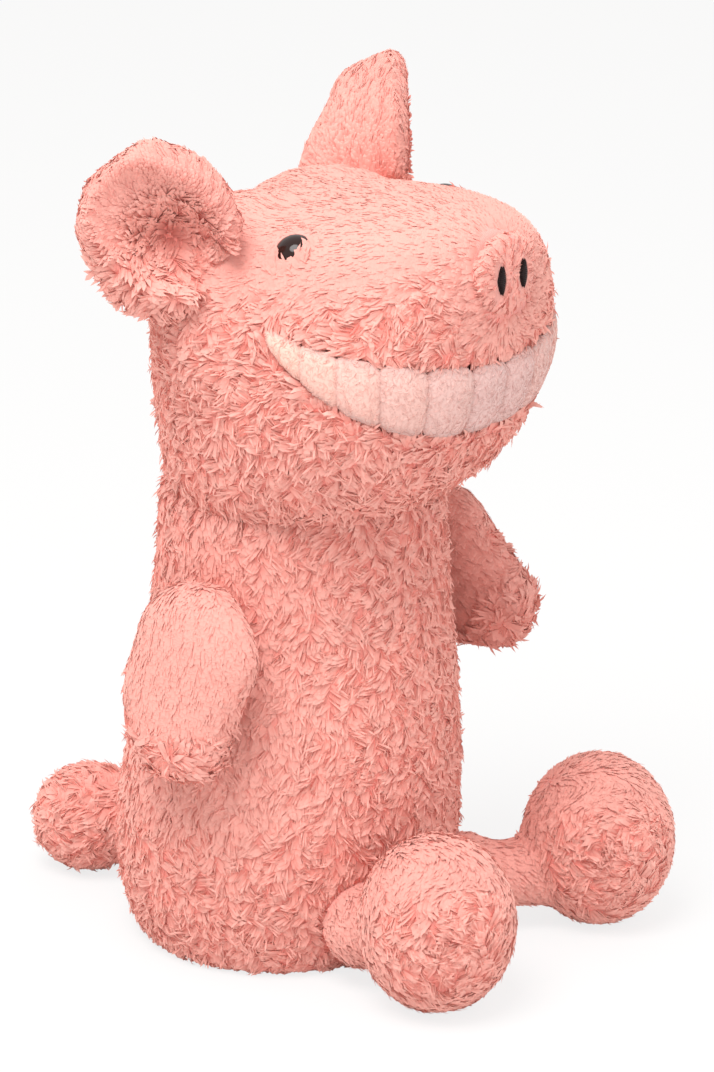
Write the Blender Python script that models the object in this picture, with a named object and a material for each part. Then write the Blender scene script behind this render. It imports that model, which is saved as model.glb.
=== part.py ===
"""Plush pig, seated: sewn covers, stuffing and trim as separate solids.

The pig sits on the floor, z = 0, and looks along -Y. Its right side is -X. The origin is the
middle of the seat. Forms are stacks of closed rings, so a cover, the hollow in it and the
stuffing that fills the hollow all come from one table of rings, drawn in by different amounts.
Each limb turns on a ball at its root, which sits in a socket in what carries the limb.
"""

import math

import bpy
import bmesh
from mathutils import Matrix, Vector
from mathutils.bvhtree import BVHTree

MM = 0.001

# Clearances and walls
FIT = 0.3 * MM
BALL_FIT = 0.7 * MM
BODY_WALL = 5.0 * MM
HEAD_WALL = 8.0 * MM
LIMB_WALL = 4.0 * MM
OVERRUN = 20.0 * MM
FLAT_DEPTH = 0.5 * MM
BALL_SIDES = 14
ROUND_SIDES = 20
SMALL_SIDES = 12
CREASE_DEG = 35.0

# Trunk
BODY_RADIUS = 55.0 * MM
BODY_WIDTH = 113.0 * MM
BODY_DEPTH = 108.0 * MM
BODY_HEIGHT = 158.0 * MM
BODY_SIDES = 30
BODY_RINGS = 12
BODY_FILL_SIDES = 20
BODY_FILL_RINGS = 7
FILL_ROUNDING_SHARE = 0.22
SEAT_RADIUS = 38.0 * MM
SEAT_THICKNESS = 3.0 * MM
PELLET_BAG_RADIUS = 26.0 * MM
PELLET_BAG_HEIGHT = 18.0 * MM
# height, radius and forward lean, as shares of the height and of the radius
BODY_PROFILE_SHARES = (
    (0.000, 0.850, 0.000),
    (0.052, 0.925, 0.000),
    (0.142, 0.990, 0.000),
    (0.256, 1.005, 0.010),
    (0.380, 0.980, 0.045),
    (0.550, 0.920, 0.090),
    (0.665, 0.880, 0.105),
    (0.816, 0.820, 0.120),
    (1.000, 0.770, 0.130),
)

# Neck
NECK_FORWARD = 7.0 * MM
NECK_DOME_RADIUS = 80.0 * MM
NECK_DOME_DROP = 2.0 * MM
NECK_DOME_TOP = BODY_HEIGHT - NECK_DOME_DROP
NECK_DOME_REACH = 62.0 * MM
NECK_HOLE_RADIUS = 20.0 * MM
NECK_SIDES = 30
NECK_STEPS = 5
NECK_TURN_SHARE = 0.25

# Head: it grows out of the trunk, fuller by the cheeks and the muzzle
CHIN_HANG = 20.0 * MM
CHEEK_PROUD = 0.5 * MM
MUZZLE_PROUD = 31.0 * MM
NAPE_DRAW_IN = 17.0 * MM
HEAD_LOW = BODY_HEIGHT - CHIN_HANG
HEAD_HEIGHT = 108.0 * MM
HEAD_FRONT = BODY_DEPTH / 2 + MUZZLE_PROUD
HEAD_BACK = BODY_DEPTH / 2 - NAPE_DRAW_IN
HEAD_HALF_WIDTH = BODY_WIDTH / 2 + CHEEK_PROUD
HEAD_SIDES = 34
HEAD_RINGS = 15
HEAD_FILL_SIDES = 20
HEAD_FILL_RINGS = 8
# height, reach to the front, reach to the back, half width, squareness and upward tilt
HEAD_PROFILE_SHARES = (
    (0.000, 0.570, 0.940, 0.760, 2.00, 0.00),
    (0.090, 0.580, 0.920, 0.765, 2.00, 0.00),
    (0.140, 0.640, 0.890, 0.810, 2.10, 0.00),
    (0.210, 0.770, 0.870, 0.880, 2.25, 0.01),
    (0.340, 0.900, 0.870, 0.950, 2.40, 0.02),
    (0.500, 0.975, 0.890, 0.995, 2.45, 0.03),
    (0.680, 1.000, 0.880, 0.990, 2.45, 0.04),
    (0.820, 0.990, 0.770, 0.900, 2.40, 0.05),
    (0.910, 0.940, 0.600, 0.760, 2.30, 0.06),
    (0.970, 0.820, 0.300, 0.540, 2.15, 0.06),
    (1.000, 0.620, -0.100, 0.250, 2.00, 0.06),
)

# Arms
ARM_SHOULDER_HEIGHT = 118.0 * MM
ARM_SHOULDER_FORWARD = 8.0 * MM
ARM_BALL_RADIUS = 11.0 * MM
ARM_GAP = 0.9 * MM
ARM_THICKNESS = 19.0 * MM
ARM_WIDTH = 43.0 * MM
ARM_LENGTH = 61.0 * MM
ARM_TOP = 12.0 * MM
ARM_SLOPE_DEG = 8.0
ARM_FORWARD_DEG = {"right": 0.0, "left": 55.0}
ARM_SIDES = 14
ARM_RINGS = 10
ARM_FILL_SIDES = 12
ARM_FILL_RINGS = 5
ARM_SQUARENESS = 2.3
# place along the arm, width, thickness and shift to the front
ARM_PROFILE_SHARES = (
    (0.00, 0.34, 0.45, 0.05),
    (0.06, 0.60, 0.75, 0.05),
    (0.18, 0.88, 0.95, 0.05),
    (0.35, 1.05, 1.00, 0.06),
    (0.58, 1.01, 1.00, -0.02),
    (0.78, 0.82, 0.96, -0.03),
    (0.92, 0.60, 0.80, 0.00),
    (1.00, 0.30, 0.40, 0.00),
)

# Legs
LEG_HIP_OUT = 25.0 * MM
LEG_HIP_PROUD = 2.0 * MM
LEG_HIP_HEIGHT = 19.0 * MM
LEG_BALL_RADIUS = 14.0 * MM
LEG_NECK_RADIUS = 10.5 * MM
LEG_ANKLE_HEIGHT = 16.5 * MM
FOOT_RADIUS = 25.0 * MM
FOOT_TALL = 28.0 * MM
LEG_RIGHT_REACH = 29.0 * MM
LEG_LEFT_REACH = 46.0 * MM
LEG_REACH = {"right": LEG_RIGHT_REACH, "left": LEG_LEFT_REACH}
LEG_OUT_DEG = {"right": 5.0, "left": 49.0}
LEG_SIDES = 16
FOOT_SIDES = 18
FOOT_RINGS = 9
FOOT_FILL_SIDES = 14
FOOT_FILL_RINGS = 6

# Tail
TAIL_HEIGHT = 24.0 * MM
TAIL_YAW_DEG = 9.0
TAIL_BALL_RADIUS = 11.0 * MM
TAIL_RADIUS = 17.0 * MM
TAIL_LENGTH = 44.0 * MM
TAIL_DROP_DEG = 14.0
TAIL_SIDES = 14
TAIL_RINGS = 7
TAIL_FILL_SIDES = 12
TAIL_FILL_RINGS = 5
# place along the tail and radius
TAIL_PROFILE_SHARES = (
    (0.10, 0.50),
    (0.25, 0.72),
    (0.45, 0.96),
    (0.65, 1.00),
    (0.85, 0.80),
    (0.96, 0.50),
    (1.00, 0.20),
)

# Ears
EAR_RIGHT_IN = 10.0 * MM
EAR_LEFT_IN = 12.0 * MM
EAR_RIGHT_FORWARD = 12.0 * MM
EAR_LEFT_FORWARD = 1.0 * MM
EAR_ROOT_IN = {"right": EAR_RIGHT_IN, "left": EAR_LEFT_IN}
EAR_ROOT_FORWARD = {"right": EAR_RIGHT_FORWARD, "left": EAR_LEFT_FORWARD}
EAR_ROOT_SINK = 1.5 * MM
EAR_ROOT_RISE = 5.5 * MM
EAR_HEIGHT = 46.0 * MM
EAR_HALF_WIDTH = 23.0 * MM
EAR_CUP = 27.0 * MM
EAR_LAYER = 4.5 * MM
EAR_BALL_RADIUS = 5.0 * MM
EAR_STALK_RADIUS = 3.5 * MM
EAR_LEAN_DEG = {"right": 55.0, "left": 40.0}
EAR_TURN_DEG = 40.0
EAR_STEPS = 7
# place up the ear, half width and depth of the cup
EAR_PROFILE_SHARES = (
    (0.00, 0.30, 0.26),
    (0.09, 0.56, 0.60),
    (0.28, 0.90, 1.00),
    (0.50, 1.00, 0.86),
    (0.70, 0.95, 0.66),
    (0.86, 0.76, 0.40),
    (0.96, 0.46, 0.16),
    (1.00, 0.20, 0.05),
)

# Eyes
EYE_IN = 16.5 * MM
EYE_FORWARD = 33.5 * MM
EYE_RADIUS = 6.0 * MM
EYE_DOME = 4.5 * MM
EYE_DOME_SHARES = (0.25, 0.5, 0.75, 0.93)
EYE_SEAT = 1.0 * MM
EYE_SHANK_RADIUS = 2.2 * MM
EYE_SHANK_LENGTH = 13.0 * MM
EYE_WASHER_RADIUS = 6.5 * MM
EYE_WASHER_THICKNESS = 1.6 * MM

# Snout and nostrils
SNOUT_RISE = 90.5 * MM
SNOUT_HEIGHT = HEAD_LOW + SNOUT_RISE
SNOUT_HALF_WIDTH = 15.0 * MM
SNOUT_HALF_TALL = 12.5 * MM
SNOUT_THICKNESS = 5.0 * MM
SNOUT_PROUD = 1.2 * MM
NOSTRIL_OUT = 5.6 * MM
NOSTRIL_TALL = 9.0 * MM
NOSTRIL_WIDTH = 4.6 * MM
NOSTRIL_THICKNESS = 2.0 * MM
NOSTRIL_PROUD = 0.5 * MM

# Mouth: angles go round the head from the middle of the muzzle
MOUTH_AXIS_FORWARD = 24.0 * MM
LIP_HEIGHT = 42.5 * MM
TOOTH_TALL = 22.5 * MM
MOUTH_END_TALL = 5.0 * MM
MOUTH_TOP_RISE = 13.5 * MM
MOUTH_LOW_RISE = MOUTH_TOP_RISE + TOOTH_TALL - MOUTH_END_TALL
MOUTH_LOW_HEIGHT = HEAD_LOW + LIP_HEIGHT
MOUTH_TOP_HEIGHT = MOUTH_LOW_HEIGHT + TOOTH_TALL
MOUTH_MARGIN = 1.2 * MM
MOUTH_DEPTH = 6.4 * MM
LINING_THICKNESS = 1.3 * MM
LINING_FIT = 0.6 * MM
TOOTH_PROUD = 1.4 * MM
TOOTH_EDGES_DEG = (0.0, 15.0, 31.0, 44.5, 56.5, 67.0, 78.0)
TOOTH_SIDES = 12
TOOTH_RINGS = 6
TOOTH_SQUARENESS = 4.0
MOUTH_STEPS = 20


def clear_scene():
    for old in list(bpy.data.objects):
        bpy.data.objects.remove(old, do_unlink=True)


def material(name, colour, roughness, metallic=0.0):
    made = bpy.data.materials.new(name)
    made.use_nodes = True
    shader = made.node_tree.nodes["Principled BSDF"]
    shader.inputs["Base Color"].default_value = (*colour, 1.0)
    shader.inputs["Roughness"].default_value = roughness
    shader.inputs["Metallic"].default_value = metallic
    return made


def add_object(name, mesh, finish=None):
    made = bpy.data.objects.new(name, mesh)
    bpy.context.scene.collection.objects.link(made)
    if finish is not None:
        mesh.materials.clear()
        mesh.materials.append(finish)
    return made


def mesh_from(bm, name):
    bmesh.ops.recalc_face_normals(bm, faces=bm.faces)
    mesh = bpy.data.meshes.new(name)
    bm.to_mesh(mesh)
    bm.free()
    mesh.shade_smooth()
    return mesh


def mesh_of_rings(name, rings):
    """A closed mesh through rings of points, each end closed by a fan to its middle."""
    bm = bmesh.new()
    loops = [[bm.verts.new(p) for p in ring] for ring in rings]
    count = len(rings[0])
    for low, high in zip(loops, loops[1:]):
        for i in range(count):
            j = (i + 1) % count
            bm.faces.new((low[i], low[j], high[j], high[i]))
    for loop, points in ((loops[0], rings[0]), (loops[-1], rings[-1])):
        middle = bm.verts.new(sum(points, Vector()) / count)
        for i in range(count):
            bm.faces.new((loop[i], loop[(i + 1) % count], middle))
    return mesh_from(bm, name)


def smoothed(rows, count):
    """Count rows read at even steps from a smooth curve through the given rows."""
    last = len(rows) - 1
    out = []
    for k in range(count):
        place = k * last / (count - 1)
        i = min(int(place), last - 1)
        t = place - i
        near = rows[max(i - 1, 0)], rows[i], rows[i + 1], rows[min(i + 2, last)]
        row = []
        for a, b, c, d in zip(*near):
            bend = (2 * a - 5 * b + 4 * c - d) * t * t + (3 * b - a - 3 * c + d) * t**3
            row.append((2 * b + (c - a) * t + bend) / 2)
        out.append(tuple(row))
    return out


def round_corner(angle, squareness):
    """A point of a unit ring: a circle at squareness 2, squarer above it."""
    c, s = math.cos(angle), math.sin(angle)
    power = 2 / squareness
    return math.copysign(abs(c) ** power, c), math.copysign(abs(s) ** power, s)


def ring(centre, across, along, count, squareness=2.0):
    """A closed ring about centre; across and along are its half axes as vectors."""
    points = []
    for k in range(count):
        u, v = round_corner(2 * math.pi * k / count, squareness)
        points.append(centre + across * u + along * v)
    return points


def ball(name, centre, radius):
    bm = bmesh.new()
    bmesh.ops.create_uvsphere(
        bm, u_segments=BALL_SIDES, v_segments=BALL_SIDES // 2, radius=radius
    )
    bmesh.ops.translate(bm, verts=bm.verts, vec=centre)
    return add_object(name, mesh_from(bm, name))


def round_form(name, start, axis, rows, sides=ROUND_SIDES):
    """A closed solid of revolution through rows of distance along the axis and radius."""
    across = axis.orthogonal().normalized()
    along = axis.cross(across)
    rings = [ring(start + axis * far, across * wide, along * wide, sides) for far, wide in rows]
    return mesh_of_rings(name, rings)


def rod(name, start, end, radius, sides=ROUND_SIDES):
    """A closed cylinder between two points."""
    reach = end - start
    rows = ((0, radius), (reach.length, radius))
    return add_object(name, round_form(name, start, reach.normalized(), rows, sides))


def boolean(target, cutter, operation="DIFFERENCE"):
    """Apply one Boolean to target and throw the cutter away."""
    step = target.modifiers.new("cut", "BOOLEAN")
    step.operation = operation
    step.object = cutter
    step.solver = "EXACT"
    bpy.context.view_layer.update()
    seen = target.evaluated_get(bpy.context.evaluated_depsgraph_get())
    mesh = bpy.data.meshes.new_from_object(seen)
    target.modifiers.clear()
    old = target.data
    target.data = mesh
    bpy.data.meshes.remove(old)
    bpy.data.objects.remove(cutter, do_unlink=True)


def finish_solid(target, plush):
    """Weld the points that the cuts left on top of each other, and give one material."""
    bm = bmesh.new()
    bm.from_mesh(target.data)
    bmesh.ops.remove_doubles(bm, verts=bm.verts, dist=FIT / 100)
    bmesh.ops.dissolve_degenerate(bm, edges=bm.edges, dist=FIT / 100)
    bm.to_mesh(target.data)
    bm.free()
    target.data.materials.clear()
    target.data.materials.append(plush)
    for face in target.data.polygons:
        face.material_index = 0
    target.data.set_sharp_from_angle(angle=math.radians(CREASE_DEG))


def floor_cut(target):
    """Cut a solid flat at the floor."""
    half = BODY_RADIUS * 4
    low = [Vector((x, y, -half)) for x, y in ((-half, -half), (half, -half), (half, half), (-half, half))]
    high = [Vector((p.x, p.y, 0)) for p in low]
    boolean(target, add_object("floor", mesh_of_rings("floor", [low, high])))


def body_ring(row, draw_in, level, sides):
    height, radius, lean = row
    reach = radius - draw_in / BODY_RADIUS
    return ring(
        Vector((0, -BODY_RADIUS * lean, level)),
        Vector((BODY_WIDTH / 2 * reach, 0, 0)),
        Vector((0, BODY_DEPTH / 2 * reach, 0)),
        sides,
    )


def body_row(level):
    """The profile's row at a height, read from its smooth curve."""
    rows = smoothed(BODY_PROFILE_SHARES, 40 * BODY_RINGS)
    return min(rows, key=lambda row: abs(row[0] * BODY_HEIGHT - level))


def body_form():
    """The trunk's outside, from just under the floor to above the neck's dome."""
    rings = []
    for row in smoothed(BODY_PROFILE_SHARES, BODY_RINGS):
        level = row[0] * (BODY_HEIGHT + FLAT_DEPTH) - FLAT_DEPTH
        rings.append(body_ring(row, 0, level, BODY_SIDES))
    return mesh_of_rings("body", rings)


def body_fill_form(draw_in, end_gap):
    """The trunk's hollow or its stuffing, between the seat and the neck."""
    low = SEAT_THICKNESS + FIT + end_gap
    high = NECK_DOME_TOP - 3 * BODY_WALL - end_gap
    rings = []
    for k in range(BODY_FILL_RINGS):
        share = k / (BODY_FILL_RINGS - 1)
        level = low + (high - low) * share
        rounding = 1 - FILL_ROUNDING_SHARE * abs(2 * share - 1) ** 6
        middle = body_row(level)
        inner = (middle[0], middle[1] * rounding, middle[2])
        rings.append(body_ring(inner, draw_in, level, BODY_FILL_SIDES))
    return mesh_of_rings("body_fill", rings)


def dome(name, radius, below):
    """The neck's dome as a solid of revolution: all below it, or all above it."""
    centre = Vector((0, -NECK_FORWARD, NECK_DOME_TOP - NECK_DOME_RADIUS))
    steep = math.asin(NECK_DOME_REACH / NECK_DOME_RADIUS)
    turn = 2 * math.pi * NECK_TURN_SHARE / NECK_SIDES
    across = Vector((math.cos(turn), math.sin(turn), 0))
    along = Vector((-math.sin(turn), math.cos(turn), 0))
    far = -2 * OVERRUN if below else 2 * OVERRUN + radius * (1 - math.cos(steep))
    rows = []
    for k in range(1, NECK_STEPS + 1):
        angle = steep * k / NECK_STEPS
        rows.append((radius * math.cos(angle), radius * math.sin(angle)))
    rows.append((rows[-1][0] + far, rows[-1][1]))
    bm = bmesh.new()
    loops = []
    for height, wide in rows:
        middle = centre + Vector((0, 0, height))
        points = ring(middle, across * wide, along * wide, NECK_SIDES)
        loops.append([bm.verts.new(p) for p in points])
    top = bm.verts.new(centre + Vector((0, 0, radius)))
    for low, high in zip(loops, loops[1:]):
        for i in range(NECK_SIDES):
            j = (i + 1) % NECK_SIDES
            bm.faces.new((low[i], low[j], high[j], high[i]))
    for i in range(NECK_SIDES):
        bm.faces.new((loops[0][i], loops[0][(i + 1) % NECK_SIDES], top))
    bm.faces.new(loops[-1])
    return add_object(name, mesh_from(bm, name))


def head_form(draw_in=0.0, sides=HEAD_SIDES, count=HEAD_RINGS, low=0.0, high=0.0):
    """The head's outside, hollow or stuffing; low and high draw its ends in."""
    rings = []
    for height, front, back, half, squareness, tilt in smoothed(HEAD_PROFILE_SHARES, count):
        reach_front = HEAD_FRONT * front - draw_in
        reach_back = HEAD_BACK * back - draw_in
        middle = (reach_back - reach_front) / 2
        level = HEAD_LOW + low + (HEAD_HEIGHT - low - high) * height
        points = ring(
            Vector((0, middle, level)),
            Vector((HEAD_HALF_WIDTH * half - draw_in, 0, 0)),
            Vector((0, (reach_back + reach_front) / 2, 0)),
            sides,
            squareness,
        )
        rings.append([p + Vector((0, 0, (middle - p.y) * tilt)) for p in points])
    return mesh_of_rings("head", rings)


def arm_frame(side):
    """The shoulder: pivot, hinge axis outwards, direction to the arm's back edge and up it."""
    sign = -1 if side == "right" else 1
    row = body_row(ARM_SHOULDER_HEIGHT)
    slope = math.radians(ARM_SLOPE_DEG)
    swing = math.radians(ARM_FORWARD_DEG[side])
    axis = Vector((sign * math.cos(slope), 0, math.sin(slope)))
    up = Vector((-sign * math.sin(slope), 0, math.cos(slope)))
    back = Vector((0, 1, 0))
    turned_up = up * math.cos(swing) + back * math.sin(swing)
    turned_back = back * math.cos(swing) - up * math.sin(swing)
    pivot = Vector((sign * row[1] * BODY_WIDTH / 2, -ARM_SHOULDER_FORWARD, ARM_SHOULDER_HEIGHT))
    return pivot, axis, turned_back, turned_up


def arm_form(side, draw_in=0.0, count=ARM_RINGS, ends=0.0, sides=ARM_SIDES):
    pivot, axis, back, up = arm_frame(side)
    rings = []
    for place, width, thick, shift in smoothed(ARM_PROFILE_SHARES, count):
        centre = (
            pivot
            + axis * (ARM_THICKNESS / 2 + ARM_GAP)
            + up * (ARM_TOP - ends - (ARM_LENGTH - 2 * ends) * place)
            - back * (ARM_WIDTH * shift)
        )
        rings.append(
            ring(
                centre,
                axis * (max(ARM_THICKNESS * thick / 2 - draw_in, FIT)),
                back * (max(ARM_WIDTH * width / 2 - draw_in, FIT)),
                sides,
                ARM_SQUARENESS,
            )
        )
    return mesh_of_rings("arm", rings)


def leg_frame(side):
    """The hip: pivot, direction across the leg and direction to the foot."""
    sign = -1 if side == "right" else 1
    out = math.radians(LEG_OUT_DEG[side]) * sign
    forward = Vector((math.sin(out), -math.cos(out), 0))
    across = Vector((math.cos(out), math.sin(out), 0))
    reach = BODY_DEPTH / 2
    front = math.sqrt(reach**2 - LEG_HIP_OUT**2)
    pivot = Vector((sign * LEG_HIP_OUT, -front - LEG_HIP_PROUD, LEG_HIP_HEIGHT))
    return pivot, across, forward


def foot_form(side, draw_in=0.0, count=FOOT_RINGS, sides=FOOT_SIDES):
    """The foot: an upright oval ball that stands on the floor."""
    pivot, across, forward = leg_frame(side)
    centre = pivot + forward * LEG_REACH[side]
    centre.z = FOOT_TALL - FLAT_DEPTH
    round_, tall = FOOT_RADIUS - draw_in, FOOT_TALL - draw_in
    rings = []
    for k in range(count):
        angle = math.pi * (k + 0.5) / count
        reach = math.sin(angle)
        rings.append(
            ring(
                centre - Vector((0, 0, tall * math.cos(angle))),
                across * (round_ * reach),
                forward * (round_ * reach),
                sides,
            )
        )
    return mesh_of_rings("foot", rings)


def leg_rod(name, side, radius, start=0.0):
    """The short narrow leg between the hip and the middle of the foot."""
    pivot, across, forward = leg_frame(side)
    end = pivot + forward * LEG_REACH[side]
    end.z = LEG_ANKLE_HEIGHT
    along = (end - pivot).normalized()
    return rod(name, pivot + along * start, end, radius, LEG_SIDES)


def tail_frame():
    """The tail's root: pivot, direction along it, across it and up."""
    drop, yaw = math.radians(TAIL_DROP_DEG), math.radians(TAIL_YAW_DEG)
    flat = Vector((-math.sin(yaw), math.cos(yaw), 0))
    side = Vector((math.cos(yaw), math.sin(yaw), 0))
    down = Vector((0, 0, -1))
    along = flat * math.cos(drop) + down * math.sin(drop)
    up = flat * math.sin(drop) - down * math.cos(drop)
    return Vector((0, BODY_DEPTH / 2, TAIL_HEIGHT)), along, side, up


def tail_form(draw_in=0.0, count=TAIL_RINGS, ends=0.0, sides=TAIL_SIDES):
    pivot, along, side, up = tail_frame()
    rings = []
    for place, radius in smoothed(TAIL_PROFILE_SHARES, count):
        reach = max(TAIL_RADIUS * radius - draw_in, FIT)
        centre = pivot + along * (ends + (TAIL_LENGTH - 2 * ends) * place)
        rings.append(ring(centre, side * reach, up * reach, sides))
    return mesh_of_rings("tail", rings)


def surface_above(tree, x, y):
    """The point and normal of the head's top over a place in plan."""
    point, normal, _, _ = tree.ray_cast(Vector((x, y, HEAD_LOW + 2 * HEAD_HEIGHT)), Vector((0, 0, -1)))
    return point, normal


def ear_frame(tree, side):
    """The ear's root: pivot on the head, hinge axis, direction behind the ear and up it."""
    sign = -1 if side == "right" else 1
    turn = math.radians(EAR_TURN_DEG) * sign
    lean = math.radians(EAR_LEAN_DEG[side])
    facing = Vector((math.sin(turn), -math.cos(turn), 0))
    outwards = Vector((math.cos(turn), math.sin(turn), 0)) * sign
    up = Vector((0, 0, 1)) * math.cos(lean) + outwards * math.sin(lean)
    root_out = sign * (HEAD_HALF_WIDTH - EAR_ROOT_IN[side])
    surface, normal = surface_above(tree, root_out, -EAR_ROOT_FORWARD[side])
    return surface - normal * EAR_ROOT_SINK, facing.cross(up), -facing, up


def ear_sheet(tree, side, low, high):
    """One cupped layer of the ear, between two distances behind its middle."""
    pivot, across, back, up = ear_frame(tree, side)
    rows = smoothed(EAR_PROFILE_SHARES, EAR_STEPS + 1)
    middle = EAR_CUP * rows[0][2] + EAR_LAYER / 2
    bm = bmesh.new()
    sheets = []
    for depth in (low, high):
        grid = []
        for place, half, cup in rows:
            line = []
            for i in range(EAR_STEPS + 1):
                u = math.sin(math.pi / 2 * (2 * i / EAR_STEPS - 1))
                behind = EAR_CUP * cup * (1 - u * u) - middle + depth * math.sqrt(1 - 0.6 * u * u)
                outwards = (EAR_HALF_WIDTH * half + depth * abs(u) ** 3) * u
                rise = EAR_ROOT_RISE + EAR_HEIGHT * place
                line.append(bm.verts.new(pivot + across * outwards + back * behind + up * rise))
            grid.append(line)
        sheets.append(grid)
        for j in range(EAR_STEPS):
            for i in range(EAR_STEPS):
                bm.faces.new((grid[j][i], grid[j][i + 1], grid[j + 1][i + 1], grid[j + 1][i]))
    n = EAR_STEPS
    border = [(0, i) for i in range(n)] + [(j, n) for j in range(n)]
    border += [(n, n - i) for i in range(n)] + [(n - j, 0) for j in range(n)]
    a, b = sheets
    for (j0, i0), (j1, i1) in zip(border, border[1:] + border[:1]):
        bm.faces.new((a[j0][i0], a[j1][i1], b[j1][i1], b[j0][i0]))
    return mesh_from(bm, "ear")


def mouth_height(angle, bottom):
    """The height of the mouth's upper or lower edge at an angle round the muzzle."""
    share = abs(angle) / math.radians(TOOTH_EDGES_DEG[-1])
    if bottom:
        return MOUTH_LOW_HEIGHT + MOUTH_LOW_RISE * share**2.6
    return MOUTH_TOP_HEIGHT + MOUTH_TOP_RISE * share**1.5


def muzzle_point(tree, angle, level, depth):
    """The point of the muzzle at an angle and a height, moved in by a depth."""
    axis = Vector((0, -MOUTH_AXIS_FORWARD, level))
    out = Vector((math.sin(angle), -math.cos(angle), 0))
    point, _, _, _ = tree.ray_cast(axis, out)
    return point - out * depth


def mouth_strip(tree, name, outer, inner, margin):
    """A crescent round the muzzle between two depths, wider than the teeth by a margin."""
    end = math.radians(TOOTH_EDGES_DEG[-1]) + margin / HEAD_HALF_WIDTH
    rings = []
    for k in range(MOUTH_STEPS + 1):
        angle = end * (2 * k / MOUTH_STEPS - 1)
        high = mouth_height(angle, False) + margin
        low = mouth_height(angle, True) - margin
        points = []
        for depth, levels in ((outer, (low, (low + high) / 2, high)), (inner, (high, (low + high) / 2, low))):
            points += [muzzle_point(tree, angle, level, depth) for level in levels]
        rings.append(points)
    return add_object(name, mesh_of_rings(name, rings))


def tooth_form(tree, name, start, end):
    """A padded tooth between two angles, round at its edges and full in its middle."""
    gap = FIT / HEAD_HALF_WIDTH
    middle, half = (start + end) / 2, (end - start) / 2 - gap
    back = MOUTH_DEPTH - LINING_THICKNESS - 2 * LINING_FIT
    depth_half = (back + TOOTH_PROUD) / 2
    rings = []
    for k in range(TOOTH_RINGS):
        place = math.cos(math.pi * (k + 0.6) / (TOOTH_RINGS + 0.2))
        fullness = (1 - abs(place) ** 3.2) ** (1 / 2.2)
        points = []
        for k_side in range(TOOTH_SIDES):
            u, v = round_corner(2 * math.pi * k_side / TOOTH_SIDES, TOOTH_SQUARENESS)
            angle = middle + half * (0.35 + 0.65 * fullness) * u
            high, low = mouth_height(angle, False), mouth_height(angle, True)
            level = (high + low) / 2 - (high - low) / 2 * place
            points.append(
                muzzle_point(tree, angle, level, back - depth_half * (1 + fullness * v))
            )
        rings.append(points)
    return mesh_of_rings(name, rings)


def pad_form(name, centre, half_width, half_tall, thickness, grow=0.0, sides=ROUND_SIDES):
    """An oval pad that faces along -Y: flat behind, crowned in front."""
    rings = []
    for place, share in ((0.0, 1.0), (0.55, 1.0), (0.85, 0.86), (1.0, 0.55)):
        reach = (half_width * share + grow, half_tall * share + grow)
        middle = centre - Vector((0, thickness * place + grow * (2 * place - 1), 0))
        rings.append(ring(middle, Vector((reach[0], 0, 0)), Vector((0, 0, reach[1])), sides))
    return mesh_of_rings(name, rings)


def eye_frame(tree, side):
    sign = -1 if side == "right" else 1
    return surface_above(tree, sign * (HEAD_HALF_WIDTH - EYE_IN), -EYE_FORWARD)


def eye_form(point, normal):
    """A domed plastic eye with its shank, one piece."""
    rows = [(-EYE_SHANK_LENGTH, EYE_SHANK_RADIUS), (-EYE_SEAT, EYE_SHANK_RADIUS)]
    rows += [(-EYE_SEAT, EYE_RADIUS), (0, EYE_RADIUS)]
    for share in EYE_DOME_SHARES:
        angle = math.pi / 2 * share
        rows.append((EYE_DOME * math.sin(angle), EYE_RADIUS * math.cos(angle)))
    return round_form("eye", point, normal, rows, SMALL_SIDES + 2)


def eye_room(point, normal):
    """The seat, the shank's hole and the washer's room in one stepped cutter."""
    rows = (
        (-EYE_SHANK_LENGTH - FIT, EYE_WASHER_RADIUS + FIT),
        (-HEAD_WALL, EYE_WASHER_RADIUS + FIT),
        (-HEAD_WALL, EYE_SHANK_RADIUS + FIT),
        (-EYE_SEAT - FIT, EYE_SHANK_RADIUS + FIT),
        (-EYE_SEAT - FIT, EYE_RADIUS + FIT),
        (EYE_DOME, EYE_RADIUS + FIT),
    )
    return add_object("room", round_form("room", point, normal, rows, SMALL_SIDES + 2))


def washer_form(point, normal):
    """The lock washer that holds a shank behind the skin."""
    across = normal.orthogonal().normalized()
    along = normal.cross(across)
    top = -HEAD_WALL - FIT
    low = top - EYE_WASHER_THICKNESS
    bore = EYE_SHANK_RADIUS + FIT
    rows = ((top, bore), (top, EYE_WASHER_RADIUS), (low, EYE_WASHER_RADIUS), (low, bore))
    bm = bmesh.new()
    loops = []
    for height, wide in rows:
        points = ring(point + normal * height, across * wide, along * wide, SMALL_SIDES)
        loops.append([bm.verts.new(p) for p in points])
    for first, second in zip(loops, loops[1:] + loops[:1]):
        for i in range(SMALL_SIDES):
            j = (i + 1) % SMALL_SIDES
            bm.faces.new((first[i], first[j], second[j], second[i]))
    return mesh_from(bm, "washer")


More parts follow.
